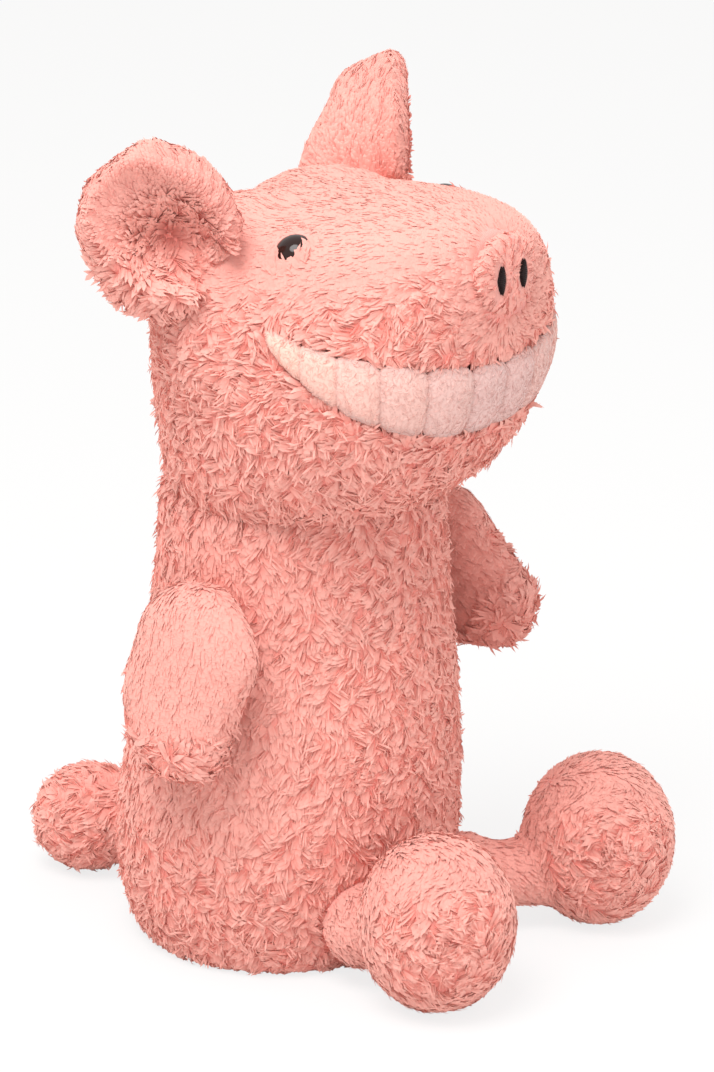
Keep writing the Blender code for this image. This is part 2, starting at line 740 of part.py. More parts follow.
def make_trunk(plush, pellets):
    cover = add_object("body_cover", body_form())
    floor_cut(cover)
    boolean(cover, dome("above", NECK_DOME_RADIUS, below=False))
    boolean(cover, add_object("hollow", body_fill_form(BODY_WALL, 0)))
    low = Vector((0, 0, -OVERRUN))
    boolean(cover, rod("seat_hole", low, Vector((0, 0, 2 * SEAT_THICKNESS)), SEAT_RADIUS + FIT))
    neck = Vector((0, -NECK_FORWARD, NECK_DOME_TOP - 4 * BODY_WALL))
    top = neck + Vector((0, 0, 3 * OVERRUN))
    boolean(cover, rod("neck_hole", neck, top, NECK_HOLE_RADIUS, NECK_SIDES))
    filling = add_object("body_filling", body_fill_form(BODY_WALL + FIT, FIT))
    bag_low = Vector((0, 0, SEAT_THICKNESS))
    bag_high = Vector((0, 0, SEAT_THICKNESS + 2 * FIT + PELLET_BAG_HEIGHT))
    boolean(filling, rod("bag_space", bag_low, bag_high, PELLET_BAG_RADIUS + FIT))
    seat = rod("seat_panel", Vector(), Vector((0, 0, SEAT_THICKNESS)), SEAT_RADIUS)
    bag = rod(
        "pellet_bag",
        Vector((0, 0, SEAT_THICKNESS + FIT)),
        Vector((0, 0, SEAT_THICKNESS + FIT + PELLET_BAG_HEIGHT)),
        PELLET_BAG_RADIUS,
    )
    finish_solid(seat, plush)
    finish_solid(bag, pellets)
    return cover, filling


def make_head():
    cover = add_object("head_cover", head_form())
    tree = BVHTree.FromObject(cover, bpy.context.evaluated_depsgraph_get())
    boolean(cover, dome("below", NECK_DOME_RADIUS + BALL_FIT, below=True))
    inner = (HEAD_WALL, HEAD_FILL_SIDES, HEAD_FILL_RINGS)
    low = NECK_DOME_TOP + BODY_WALL - HEAD_LOW
    boolean(cover, add_object("hollow", head_form(*inner, low, HEAD_WALL)))
    neck = Vector((0, -NECK_FORWARD, NECK_DOME_TOP - OVERRUN))
    top = Vector((0, -NECK_FORWARD, HEAD_LOW + low + FIT))
    boolean(cover, rod("neck_hole", neck, top, NECK_HOLE_RADIUS, NECK_SIDES))
    filling = add_object(
        "head_filling",
        head_form(HEAD_WALL + FIT, *inner[1:], low + FIT, HEAD_WALL + FIT),
    )
    plug_low = Vector((0, -NECK_FORWARD, NECK_DOME_TOP - 3 * BODY_WALL + FIT))
    plug_high = top + Vector((0, 0, BODY_WALL))
    plug = rod("plug", plug_low, plug_high, NECK_HOLE_RADIUS - BALL_FIT, NECK_SIDES)
    boolean(filling, plug, "UNION")
    return cover, filling, tree


def make_limb(name, form, fill, pivot, radius, hosts, inwards, opening):
    """A cover with its root ball, hollow and stuffing, and its sockets in what carries it."""
    cover = add_object(f"{name}_cover", form)
    boolean(cover, ball("root", pivot, radius), "UNION")
    hollow, stuffing = fill
    boolean(cover, add_object("hollow", hollow))
    boolean(cover, rod("opening", pivot + inwards * 2 * radius, pivot - inwards * radius, opening))
    stuffed = add_object(f"{name}_filling", stuffing)
    for host in hosts:
        boolean(host, ball("socket", pivot, radius + BALL_FIT))
    return cover, stuffed


def make_arms(plush, fibre, hosts):
    for side in ("right", "left"):
        pivot, axis, back, up = arm_frame(side)
        fill = [
            arm_form(side, wall, ARM_FILL_RINGS, wall, ARM_FILL_SIDES)
            for wall in (LIMB_WALL, LIMB_WALL + FIT)
        ]
        cover, stuffed = make_limb(
            f"arm_{side}", arm_form(side), fill, pivot, ARM_BALL_RADIUS,
            hosts, -axis, ARM_BALL_RADIUS / 3,
        )
        finish_solid(cover, plush)
        finish_solid(stuffed, fibre)


def make_legs(plush, fibre, hosts):
    for side in ("right", "left"):
        pivot, across, forward = leg_frame(side)
        cover = add_object(f"leg_{side}_cover", foot_form(side))
        boolean(cover, leg_rod("neck", side, LEG_NECK_RADIUS), "UNION")
        boolean(cover, ball("root", pivot, LEG_BALL_RADIUS), "UNION")
        floor_cut(cover)
        inner = (FOOT_FILL_RINGS, FOOT_FILL_SIDES)
        boolean(cover, add_object("hollow", foot_form(side, LIMB_WALL, *inner)))
        start = -2 * LEG_BALL_RADIUS
        boolean(cover, leg_rod("passage", side, LEG_NECK_RADIUS - LIMB_WALL, start))
        stuffed = add_object(f"leg_{side}_filling", foot_form(side, LIMB_WALL + FIT, *inner))
        boolean(stuffed, leg_rod("stem", side, LEG_NECK_RADIUS - LIMB_WALL - FIT), "UNION")
        for host in hosts:
            boolean(host, ball("socket", pivot, LEG_BALL_RADIUS + BALL_FIT))
        finish_solid(cover, plush)
        finish_solid(stuffed, fibre)


def make_tail(plush, fibre, hosts):
    pivot, along, side, up = tail_frame()
    fill = [
        tail_form(wall, TAIL_FILL_RINGS, wall, TAIL_FILL_SIDES)
        for wall in (LIMB_WALL, LIMB_WALL + FIT)
    ]
    cover, stuffed = make_limb(
        "tail", tail_form(), fill, pivot, TAIL_BALL_RADIUS,
        hosts, -along, TAIL_BALL_RADIUS / 3,
    )
    finish_solid(cover, plush)
    finish_solid(stuffed, fibre)


def make_ears(plush, tree, head):
    for side in ("right", "left"):
        pivot, across, behind, up = ear_frame(tree, side)
        stalk = up * (EAR_ROOT_RISE + EAR_LAYER / 2)
        back = add_object(f"ear_{side}_back", ear_sheet(tree, side, FIT, EAR_LAYER))
        boolean(back, rod("stalk", pivot, pivot + stalk, EAR_STALK_RADIUS, SMALL_SIDES), "UNION")
        boolean(back, ball("root", pivot, EAR_BALL_RADIUS), "UNION")
        lining = add_object(f"ear_{side}_lining", ear_sheet(tree, side, -EAR_LAYER, 0))
        bore = EAR_STALK_RADIUS + FIT
        boolean(lining, rod("stalk", pivot, pivot + stalk * 2, bore, SMALL_SIDES))
        boolean(head, ball("socket", pivot, EAR_BALL_RADIUS + BALL_FIT))
        finish_solid(back, plush)
        finish_solid(lining, plush)


def make_mouth(cream, lining_cloth, tree, head):
    boolean(head, mouth_strip(tree, "groove", -OVERRUN / 2, MOUTH_DEPTH, MOUTH_MARGIN))
    floor = MOUTH_DEPTH - LINING_FIT
    lining = mouth_strip(tree, "mouth_lining", floor - LINING_THICKNESS, floor, 0)
    finish_solid(lining, lining_cloth)
    for side, sign in (("right", -1), ("left", 1)):
        for k, (start, end) in enumerate(zip(TOOTH_EDGES_DEG, TOOTH_EDGES_DEG[1:])):
            name = f"tooth_{side}_{k + 1}"
            edges = sorted((sign * math.radians(start), sign * math.radians(end)))
            finish_solid(add_object(name, tooth_form(tree, name, *edges)), cream)


def make_snout(plush, thread, tree, head):
    front, _, _, _ = tree.ray_cast(
        Vector((0, -MOUTH_AXIS_FORWARD, SNOUT_HEIGHT)), Vector((0, -1, 0))
    )
    back = front + Vector((0, SNOUT_THICKNESS - SNOUT_PROUD, 0))
    oval = (back, SNOUT_HALF_WIDTH, SNOUT_HALF_TALL, SNOUT_THICKNESS)
    disc = add_object("snout_disc", pad_form("snout", *oval))
    boolean(head, add_object("recess", pad_form("recess", *oval, grow=FIT)))
    face = front - Vector((0, SNOUT_PROUD, 0))
    for side, sign in (("right", -1), ("left", 1)):
        root = face + Vector((sign * NOSTRIL_OUT, NOSTRIL_THICKNESS - NOSTRIL_PROUD, 0))
        leaf = (root, NOSTRIL_WIDTH / 2, NOSTRIL_TALL / 2, NOSTRIL_THICKNESS)
        slit = add_object(f"nostril_{side}", pad_form("nostril", *leaf, sides=SMALL_SIDES))
        boolean(disc, add_object("bed", pad_form("bed", *leaf, grow=FIT, sides=SMALL_SIDES)))
        finish_solid(slit, thread)
    finish_solid(disc, plush)


def make_eyes(plastic, washer, tree, head, filling):
    for side in ("right", "left"):
        point, normal = eye_frame(tree, side)
        finish_solid(add_object(f"eye_{side}", eye_form(point, normal)), plastic)
        finish_solid(add_object(f"eye_washer_{side}", washer_form(point, normal)), washer)
        boolean(head, eye_room(point, normal))
        boolean(filling, eye_room(point, normal))


def main():
    clear_scene()
    plush = material("pink_plush", (0.80, 0.33, 0.29), 0.95)
    cream = material("cream_plush", (0.86, 0.74, 0.67), 0.9)
    lining_cloth = material("lining_cloth", (0.62, 0.30, 0.28), 0.9)
    fibre = material("white_fibre", (0.90, 0.90, 0.88), 1.0)
    pellets = material("pellet_cloth", (0.75, 0.74, 0.70), 0.9)
    plastic = material("dark_plastic", (0.03, 0.012, 0.01), 0.15)
    washer = material("white_plastic", (0.85, 0.85, 0.85), 0.4)
    thread = material("dark_thread", (0.035, 0.012, 0.012), 0.8)

    body, body_filling = make_trunk(plush, pellets)
    make_arms(plush, fibre, (body, body_filling))
    make_legs(plush, fibre, (body, body_filling))
    make_tail(plush, fibre, (body, body_filling))
    head, head_filling, tree = make_head()
    make_ears(plush, tree, head)
    make_mouth(cream, lining_cloth, tree, head)
    make_snout(plush, thread, tree, head)
    make_eyes(plastic, washer, tree, head, head_filling)
    for solid, finish in ((body, plush), (head, plush), (body_filling, fibre), (head_filling, fibre)):
        finish_solid(solid, finish)


main()
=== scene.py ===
"""Plush pig, seated: padded skins, long pile, teeth, eyes, snout and a studio stage.

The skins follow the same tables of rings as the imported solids, so each one sits where its solid
does. The pig stands on z = 0 and looks along -Y, its right side is -X. Lengths are in metres.
"""

import math

import bmesh
import bpy
import numpy as np
from bpy.props import FloatProperty, FloatVectorProperty, IntProperty, PointerProperty
from mathutils import Matrix, Vector
from mathutils.bvhtree import BVHTree


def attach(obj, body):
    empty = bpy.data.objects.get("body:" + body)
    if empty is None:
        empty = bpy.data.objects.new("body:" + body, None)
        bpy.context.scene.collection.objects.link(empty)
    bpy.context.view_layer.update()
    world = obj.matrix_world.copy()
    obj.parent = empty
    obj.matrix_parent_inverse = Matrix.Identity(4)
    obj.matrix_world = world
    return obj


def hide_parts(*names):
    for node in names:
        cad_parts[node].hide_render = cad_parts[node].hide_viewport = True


bl_info = {
    "name": "Plush Pig",
    "version": (1, 0, 0),
    "blender": (4, 5, 0),
    "location": "View3D > Sidebar > Plush Pig",
    "description": "Sews, stuffs and covers a seated plush pig around its frame",
    "category": "Object",
}

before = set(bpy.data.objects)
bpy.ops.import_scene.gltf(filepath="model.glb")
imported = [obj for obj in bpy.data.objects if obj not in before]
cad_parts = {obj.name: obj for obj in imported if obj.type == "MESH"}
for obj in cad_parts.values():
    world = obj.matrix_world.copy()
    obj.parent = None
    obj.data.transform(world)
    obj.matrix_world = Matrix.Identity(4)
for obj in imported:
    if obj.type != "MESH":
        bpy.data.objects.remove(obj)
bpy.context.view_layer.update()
SIDES = ("right", "left")
SIGN = {"right": -1.0, "left": 1.0}


# Height, radius and forward lean of the trunk, as shares of its height and radius
TRUNK_PROFILE_SHARES = (
    (0.000, 0.850, 0.000),
    (0.052, 0.925, 0.000),
    (0.142, 0.990, 0.000),
    (0.256, 1.005, 0.010),
    (0.380, 0.980, 0.045),
    (0.550, 0.920, 0.090),
    (0.665, 0.880, 0.105),
    (0.816, 0.835, 0.120),
    (1.000, 0.805, 0.130),
)
# Height, reach to the front, reach to the back, half width, squareness and upward tilt
HEAD_PROFILE_SHARES = (
    (0.000, 0.570, 0.940, 0.760, 2.00, 0.00),
    (0.090, 0.580, 0.920, 0.765, 2.00, 0.00),
    (0.140, 0.640, 0.890, 0.810, 2.10, 0.00),
    (0.210, 0.770, 0.870, 0.880, 2.25, 0.01),
    (0.340, 0.900, 0.870, 0.950, 2.40, 0.02),
    (0.500, 0.975, 0.890, 0.995, 2.45, 0.03),
    (0.680, 1.000, 0.880, 0.990, 2.45, 0.04),
    (0.820, 0.990, 0.770, 0.900, 2.40, 0.05),
    (0.910, 0.940, 0.600, 0.760, 2.30, 0.06),
    (0.970, 0.820, 0.300, 0.540, 2.15, 0.06),
    (1.000, 0.620, -0.100, 0.250, 2.00, 0.06),
)
# Place along the arm, width, thickness and shift to the front
ARM_PROFILE_SHARES = (
    (0.00, 0.34, 0.45, 0.05),
    (0.06, 0.60, 0.75, 0.05),
    (0.18, 0.88, 0.95, 0.05),
    (0.35, 1.05, 1.00, 0.06),
    (0.58, 1.01, 1.00, -0.02),
    (0.78, 0.82, 0.96, -0.03),
    (0.92, 0.60, 0.80, 0.00),
    (1.00, 0.30, 0.40, 0.00),
)
# Place along the tail and radius
TAIL_PROFILE_SHARES = (
    (0.10, 0.50),
    (0.25, 0.72),
    (0.45, 0.96),
    (0.65, 1.00),
    (0.85, 0.80),
    (0.96, 0.50),
    (1.00, 0.20),
)
# Place up the ear, half width and depth of the cup
EAR_PROFILE_SHARES = (
    (0.00, 0.50, 0.92),
    (0.09, 0.66, 1.02),
    (0.28, 0.90, 1.00),
    (0.50, 1.00, 0.86),
    (0.70, 0.97, 0.68),
    (0.86, 0.86, 0.58),
    (0.96, 0.64, 0.48),
    (1.00, 0.36, 0.40),
)
# Place from the back of the snout's disc to its front and width, and the same of a nostril
SNOUT_PROFILE_SHARES = (
    (0.00, 0.94),
    (0.12, 1.00),
    (0.50, 1.02),
    (0.74, 0.97),
    (0.90, 0.87),
    (1.00, 0.70),
    (1.05, 0.45),
    (1.07, 0.15),
)
NOSTRIL_PROFILE_SHARES = ((0.0, 0.9), (0.35, 1.0), (0.7, 0.86), (0.9, 0.6), (1.0, 0.25))
TOOTH_EDGES_DEG = (0.0, 15.0, 31.0, 44.5, 56.5, 67.0, 78.0)
MOUTH_END = math.radians(TOOTH_EDGES_DEG[-1])
ARM_FORWARD_DEG = {"right": 0.0, "left": 55.0}
LEG_OUT_DEG = {"right": 5.0, "left": 49.0}
SOLE_WAY = Vector((-0.74, -0.66, 0.12)).normalized()
LEG_REACH = {"right": 0.029, "left": 0.046}
EAR_TURN = math.radians(40.0)
EAR_LEAN_DEG = {"right": 55.0, "left": 40.0}
ROOT = {
    "ear_right": Vector((-0.045904, -0.012281, 0.228793)),
    "ear_left": Vector((0.043979, -0.001458, 0.22708)),
    "arm_right": Vector((-0.047831, -0.008, 0.118)),
    "arm_left": Vector((0.047831, -0.008, 0.118)),
    "leg_right": Vector((-0.025, -0.049864, 0.019)),
    "leg_left": Vector((0.025, -0.049864, 0.019)),
    "tail": Vector((0.0, 0.054, 0.024)),
}
UP, DOWN = np.array((0.0, 0.0, 1.0)), np.array((0.0, 0.0, -1.0))
EAR_HOLLOW = 0.36  # where the lining is deepest, as a share of the ear's height
EAR_STEPS, FOOT_RINGS, TOOTH_RINGS = 30, 28, 22
SIMULATED_FRAMES = 20
FLOOR_GAP = 0.0002  # between the skins and the floor
DOME_GAP = 0.0007  # between the head's skin and the neck's dome
PILE_FLOOR = 0.0003  # the lowest that a lock may hang
NEIGHBOUR_REACH = 0.008  # how near another skin has to be to shorten the pile
FLOOR_HALF = 6.0


def length(title, value, words):
    return FloatProperty(name=title, description=words, default=value, unit="LENGTH", precision=4)


def number(title, value, words, unit):
    return FloatProperty(name=title, description=words, default=value, unit=unit)


def angle(title, degrees, words):
    return FloatProperty(
        name=title, description=words, default=math.radians(degrees), subtype="ANGLE"
    )


def share(title, value, words):
    return FloatProperty(name=title, description=words, default=value, subtype="FACTOR")


def colour(title, value, words):
    return FloatVectorProperty(
        name=title, description=words, default=value, size=3, min=0, max=1, subtype="COLOR"
    )


class PigBodySizes(bpy.types.PropertyGroup):
    """Sizes of the padded skins."""

    trunk_radius: length("Trunk radius", 0.055, "Radius that the trunk's shares are taken of")
    trunk_width: length("Trunk width", 0.113, "Width of the trunk at its fullest")
    trunk_depth: length("Trunk depth", 0.108, "Depth of the trunk at its fullest")
    trunk_height: length("Trunk height", 0.1585, "Height of the trunk's profile")
    neck_rise: length("Neck rise", 0.0075, "How far the trunk's skin rises round the head")
    flat_depth: length("Flat depth", 0.0005, "How deep the floor flattens what stands on it")
    neck_forward: length("Neck forward", 0.007, "How far the neck's axis lies in front")
    neck_radius: length("Neck dome radius", 0.080, "Radius of the dome under the head")
    neck_top: length("Neck dome top", 0.156, "Height of the dome under the head")
    head_low: length("Head low", 0.138, "Height of the head's lowest ring")
    head_height: length("Head height", 0.108, "Height of the head's profile")
    head_front: length("Head front", 0.085, "Reach of the muzzle in front")
    head_back: length("Head back", 0.037, "Reach of the head behind")
    head_half: length("Head half width", 0.057, "Half width across the cheeks")
    arm_length: length("Arm length", 0.061, "Length of an arm")
    arm_width: length("Arm width", 0.043, "Width of an arm's flat side")
    arm_thickness: length("Arm thickness", 0.019, "Thickness of an arm")
    arm_top: length("Arm top", 0.012, "Height of an arm's top over its shoulder")
    arm_gap: length("Arm gap", 0.0009, "Gap between an arm and the trunk")
    arm_ball: length("Shoulder ball", 0.011, "Radius of the stuffed ball in the shoulder")
    foot_radius: length("Foot radius", 0.025, "Radius of a foot seen from above")
    foot_tall: length("Foot half height", 0.028, "Half the height of a foot")
    leg_radius: length("Leg radius", 0.0105, "Radius of the short leg")
    leg_ball: length("Hip ball", 0.014, "Radius of the stuffed ball in the hip")
    ankle_height: length("Ankle height", 0.0165, "Height at which the leg meets the foot")
    tail_length: length("Tail length", 0.044, "Length of the tail")
    tail_radius: length("Tail radius", 0.017, "Radius of the tail at its fullest")
    tail_ball: length("Tail ball", 0.011, "Radius of the stuffed ball at the tail's root")
    ear_height: length("Ear height", 0.0445, "Height of an ear over its rise")
    ear_rise: length("Ear rise", 0.0045, "Length of an ear's stalk")
    ear_half: length("Ear half width", 0.0218, "Half width of an ear")
    ear_cup: length("Ear cup", 0.027, "Depth of an ear's cup")
    ear_layer: length("Ear layer", 0.0045, "Thickness of each layer of an ear")
    ear_mound: length("Ear mound", 0.0062, "How far the head swells round an ear's root")
    ear_mound_reach: length("Ear mound reach", 0.036, "How far from the root it reaches")
    ear_mound_set: length("Ear mound set", 0.017, "How far behind and below it peaks")
    ear_set: length("Ear set", 0.00927, "How far the ear's rim stands in front of its root")
    ear_ball: length("Ear ball", 0.005, "Radius of the ball at an ear's root")
    seat_radius: length("Seat radius", 0.038, "Radius of the flat seat panel")
    seat_thickness: length("Seat thickness", 0.003, "Thickness of the seat panel")
    voxel: length("Remesh size", 0.0035, "Size of a remeshed face before it is subdivided")
    swell: length("Swell", 0.004, "The furthest that the stuffing may push a point")


class PigFaceSizes(bpy.types.PropertyGroup):
    """Sizes and places of the teeth, eyes and snout."""

    mouth_axis: length("Mouth axis", 0.024, "How far in front the mouth's axis stands")
    mouth_top: length("Mouth top", 0.203, "Height of the teeth's upper edge in the middle")
    mouth_top_rise: length("Mouth top rise", 0.0135, "Rise of the upper edge to the corners")
    mouth_low: length("Mouth low", 0.1805, "Height of the teeth's lower edge in the middle")
    mouth_low_rise: length("Mouth low rise", 0.031, "Rise of the lower edge to the corners")
    mouth_depth: length("Mouth depth", 0.0064, "Depth of the fold that holds the teeth")
    mouth_margin: length("Mouth margin", 0.0006, "Margin of that fold round the teeth")
    tooth_proud: length("Tooth proud", 0.0027, "How far a tooth stands out of the muzzle")
    tooth_back: length("Tooth back", 0.0036, "How deep a tooth sits in the fold")
    tooth_press: length("Tooth press", 0.0016, "How far a stuffed tooth presses into the next")
    snout_height: length("Snout height", 0.2285, "Height of the snout's middle")
    snout_half: length("Snout half width", 0.015, "Half width of the snout's disc")
    snout_tall: length("Snout half height", 0.0125, "Half height of the snout's disc")
    snout_thick: length("Snout thickness", 0.005, "Thickness of the snout's disc")
    snout_proud: length("Snout proud", 0.0016, "How far the disc stands out")
    nostril_out: length("Nostril out", 0.0056, "Distance of a nostril from the middle")
    nostril_tall: length("Nostril height", 0.009, "Height of a nostril")
    nostril_wide: length("Nostril width", 0.0038, "Width of a nostril")
    nostril_proud: length("Nostril proud", 0.0016, "How far the satin stitches stand out")
    eye_out: length("Eye out", 0.0405, "Distance of an eye from the middle")
    eye_forward: length("Eye forward", 0.0335, "How far in front the eyes sit")
    eye_radius: length("Eye radius", 0.006, "Radius of a plastic eye")
    eye_dome: length("Eye dome", 0.0045, "Height of a plastic eye")
    eye_sink: length("Eye sink", 0.0019, "How far the shank draws the eye into the stuffing")
    eye_seat: length("Eye seat", 0.001, "How deep an eye sits in the skin")
    eye_shank: length("Eye shank", 0.013, "Length of an eye's shank")
    eye_shank_radius: length("Shank radius", 0.0022, "Radius of an eye's shank")


class PigPile(bpy.types.PropertyGroup):
    """The long pile and how it lies."""

    spacing: length("Spacing", 0.00086, "Distance between the roots of two locks")
    lock_length: length("Lock length", 0.0041, "Length of a lock where the pile is full")
    lock_radius: length("Lock radius", 0.00086, "Half the width of a lock at its fullest")
    flatness: share("Flatness", 0.5, "Thickness of a lock as a share of its width")
    clump_size: length("Clump size", 0.0034, "Size of the clumps that the locks gather in")
    clump: share("Clumping", 0.62, "How far the tips of a clump come together")
    swirl_size: length("Swirl size", 0.011, "Size of the swirls in the pile")
    swirl: angle("Swirl", 62.0, "How far a swirl turns the pile")
    scatter: angle("Scatter", 74.0, "How far each clump turns by itself")
    lean: angle("Lean", 75.0, "How far a lock leans from upright")
    fine_share: share("Fine locks", 0.12, "Share of the locks that are fine loose hairs")
    nap_spacing: length("Nap spacing", 0.00065, "Distance between two hairs of the teeth's nap")
    nap_length: length("Nap length", 0.0013, "Length of the teeth's nap")
    nap_radius: length("Nap radius", 0.00032, "Radius of a hair of the nap")
    seed: IntProperty(name="Seed", description="Seed of the pile's random places", default=11)


class PigColours(bpy.types.PropertyGroup):
    """Colours of the cloths, the plastic and the thread."""

    # The pile is darker and redder at its root than at its tip: painted shade between the locks.
    pile_root: colour("Pile root", (0.88, 0.340, 0.285), "Pile near the backing")
    # Painted shade: the dark red pulled into the ear's hollow, creases, undersides and sides turned
    # from the lamps.
    pile_deep: colour("Deep pile", (0.52, 0.130, 0.105), "Pile in the hollow of an ear")
    pile_middle: colour("Pile middle", (0.92, 0.410, 0.350), "Pile halfway up")
    pile_tip: colour("Pile tip", (0.96, 0.500, 0.430), "Tips of the pile")
    # Painted highlight: one even colour, with no darker root, for pile that lies flat on the lit
    # tops.
    pile_pale: colour("Pale pile", (0.84, 0.385, 0.330), "Short worn pile on the muzzle")
    pile_sheen: colour("Pile sheen", (1.0, 0.60, 0.52), "Light that fibres catch edge on")
    # The backing is a little darker than the pile's root: partly painted shade where it shows
    # between the locks.
    backing: colour("Backing", (0.86, 0.285, 0.240), "Knit backing under the pile")
    tooth_white: colour("Tooth", (0.74, 0.490, 0.460), "Velour of the middle teeth")
    # Painted shade: the darker velour in the valleys between the teeth, under the lips and at the
    # nap's roots.
    tooth_shade: colour("Tooth shade", (0.62, 0.34, 0.30), "Velour in the valleys and at its roots")
    tooth_cream: colour("Corner tooth", (0.90, 0.520, 0.430), "Velour of the corner teeth")
    lining: colour("Mouth lining", (0.55, 0.22, 0.20), "Cloth behind the teeth")
    eye_brown: colour("Eye", (0.020, 0.0075, 0.006), "Plastic of the eyes")
    thread: colour("Nostril thread", (0.012, 0.004, 0.004), "Thread of the nostrils")
    fibre: colour("Stuffing", (0.86, 0.86, 0.84), "Fibre stuffing")
    pellet_cloth: colour("Pellet bag", (0.74, 0.72, 0.67), "Cloth of the pellet bag")
    washer: colour("Washer", (0.84, 0.84, 0.83), "Plastic of the lock washers")


class PigStage(bpy.types.PropertyGroup):
    """Camera, lamps and floor."""

    azimuth: angle("Azimuth", -53.5, "Turn of the camera about the pig")
    elevation: angle("Elevation", 18.5, "Height of the camera over the floor, as an angle")
    camera_place: FloatVectorProperty(
        name="Camera place", description="Where the camera stands", size=3,
        default=(-1.13881, -0.87044, 0.60949), subtype="TRANSLATION", unit="LENGTH",
    )
    lens: number("Lens", 107.46, "Focal length", "CAMERA")
    sensor: number("Sensor", 24.0, "Height of the sensor", "CAMERA")
    key_power: number("Key lamp", 19.6, "Power of the key lamp", "POWER")
    fill_power: number("Fill lamp", 4.0, "Power of the fill lamp", "POWER")
    sky: share("Sky", 0.76, "Strength of the light from all round")
    floor_shade: share("Floor shade", 0.2, "How much of the floor's own shade the camera sees")


# Shapes


def smooth_rows(rows, count):
    """Count rows read at even steps from a smooth curve through the given rows."""
    last = len(rows) - 1
    out = []
    for k in range(count):
        place = k * last / (count - 1)
        i = min(int(place), last - 1)
        t = place - i
        near = rows[max(i - 1, 0)], rows[i], rows[i + 1], rows[min(i + 2, last)]
        row = []
        for a, b, c, d in zip(*near):
            bend = (2 * a - 5 * b + 4 * c - d) * t * t + (3 * b - a - 3 * c + d) * t**3
            row.append((2 * b + (c - a) * t + bend) / 2)
        out.append(tuple(row))
    return out


def ring(centre, across, along, count, squareness=2.0):
    """Points of a closed ring; across and along are its half axes as vectors."""
    turn = np.linspace(0, 2 * np.pi, count, endpoint=False)
    c, s = np.cos(turn), np.sin(turn)
    u = np.sign(c) * np.abs(c) ** (2 / squareness)
    v = np.sign(s) * np.abs(s) ** (2 / squareness)
    return np.array(centre) + np.outer(u, np.array(across)) + np.outer(v, np.array(along))


def linked(name, data):
    """A new object of the scene that shows this data."""
    made = bpy.data.objects.new(name, data)
    bpy.context.scene.collection.objects.link(made)
    return made


def add_mesh(name, points, faces):
    mesh = bpy.data.meshes.new(name)
    mesh.from_pydata([tuple(p) for p in points], [], faces)
    bm = bmesh.new()
    bm.from_mesh(mesh)
    bmesh.ops.recalc_face_normals(bm, faces=bm.faces)
    bm.to_mesh(mesh)
    bm.free()
    mesh.shade_smooth()
    return linked(name, mesh)


def closed_rings(name, rings, cap_steps=7):
    """A closed skin through rings, each end filled with smaller and smaller rings."""
    count = len(rings[0])
    caps, middles = [], []
    for end in (rings[0], rings[-1]):
        middle = end.mean(axis=0)
        caps.append([middle + (end - middle) * (1 - k / cap_steps) for k in range(1, cap_steps)])
        middles.append(middle[None])
    stack = caps[0][::-1] + list(rings) + caps[1]
    points = np.vstack(stack + middles)
    low, high, top = len(points) - 2, len(points) - 1, (len(stack) - 1) * count
    pairs = [(i, (i + 1) % count) for i in range(count)]
    faces = [
        (k + i, k + j, k + count + j, k + count + i) for k in range(0, top, count) for i, j in pairs
    ]
    for i, j in pairs:
        faces += [(j, i, low), (top + i, top + j, high)]
    return add_mesh(name, points, faces)


def ball(centre, radius):
    bm = bmesh.new()
    bmesh.ops.create_uvsphere(bm, u_segments=24, v_segments=12, radius=radius)
    bmesh.ops.translate(bm, verts=bm.verts, vec=centre)
    mesh = bpy.data.meshes.new("ball")
    bm.to_mesh(mesh)
    bm.free()
    return linked("ball", mesh)


def rod(start, end, radius, steps=8):
    """A closed straight tube, capped at both ends."""
    reach = end - start
    across = reach.orthogonal().normalized()
    along = reach.normalized().cross(across)
    places = [start + reach * (k / steps) for k in range(steps + 1)]
    return closed_rings("rod", [ring(p, across * radius, along * radius, 24) for p in places], 3)


def joined(target, others):
    """Puts the meshes of others into target and throws them away."""
    bm = bmesh.new()
    bm.from_mesh(target.data)
    for other in others:
        bm.from_mesh(other.data)
        bpy.data.objects.remove(other, do_unlink=True)
    bm.to_mesh(target.data)
    bm.free()
    return target


def applied(piece):
    """Turns a piece's modifiers into its mesh."""
    bpy.context.view_layer.update()
    seen = piece.evaluated_get(bpy.context.evaluated_depsgraph_get())
    mesh = bpy.data.meshes.new_from_object(seen)
    piece.modifiers.clear()
    old = piece.data
    piece.data = mesh
    mesh.name = piece.name
    bpy.data.meshes.remove(old)
    return piece


def read(items, key, width=3):
    """One value, or one vector, of each item of a mesh."""
    out = np.zeros(len(items) * width, np.float32)
    items.foreach_get(key, out)
    return out.reshape(-1, width) if width > 1 else out


def write(piece, name, values):
    """Stores a value, or a vector, at each point of a piece."""
    values = np.asarray(values, np.float32)
    kind, key = ("FLOAT_VECTOR", "vector") if values.ndim == 2 else ("FLOAT", "value")
    if values.ndim < 2:
        values = np.broadcast_to(values, len(piece.data.vertices))
    piece.data.attributes.new(name, kind, "POINT").data.foreach_set(key, values.ravel())


def coords(piece):
    return read(piece.data.vertices, "co")


def normals_of(piece):
    return read(piece.data.vertices, "normal")


def set_coords(piece, points):
    piece.data.vertices.foreach_set("co", np.asarray(points, np.float32).ravel())
    piece.data.update()


def set_heights(piece, rule):
    """Moves a piece's points up or down to the heights that a rule gives for their places."""
    points = coords(piece)
    points[:, 2] = rule(*points.T)
    set_coords(piece, points)


def tree_of(piece):
    mesh = piece.data
    faces = [face.vertices[:] for face in mesh.polygons]
    return BVHTree.FromPolygons([v.co for v in mesh.vertices], faces)


def remeshed(piece, voxel, smoothing=4):
    step = piece.modifiers.new("Remesh", "REMESH")
    step.mode = "VOXEL"
    step.voxel_size = voxel
    applied(piece)
    step = piece.modifiers.new("Smooth", "LAPLACIANSMOOTH")
    step.iterations = smoothing
    step.lambda_factor = 0.2
    applied(piece)


def subdivided(piece):
    finer = piece.modifiers.new("Subdivide", "SUBSURF")
    finer.levels = finer.render_levels = 1
    applied(piece)
    piece.data.shade_smooth()


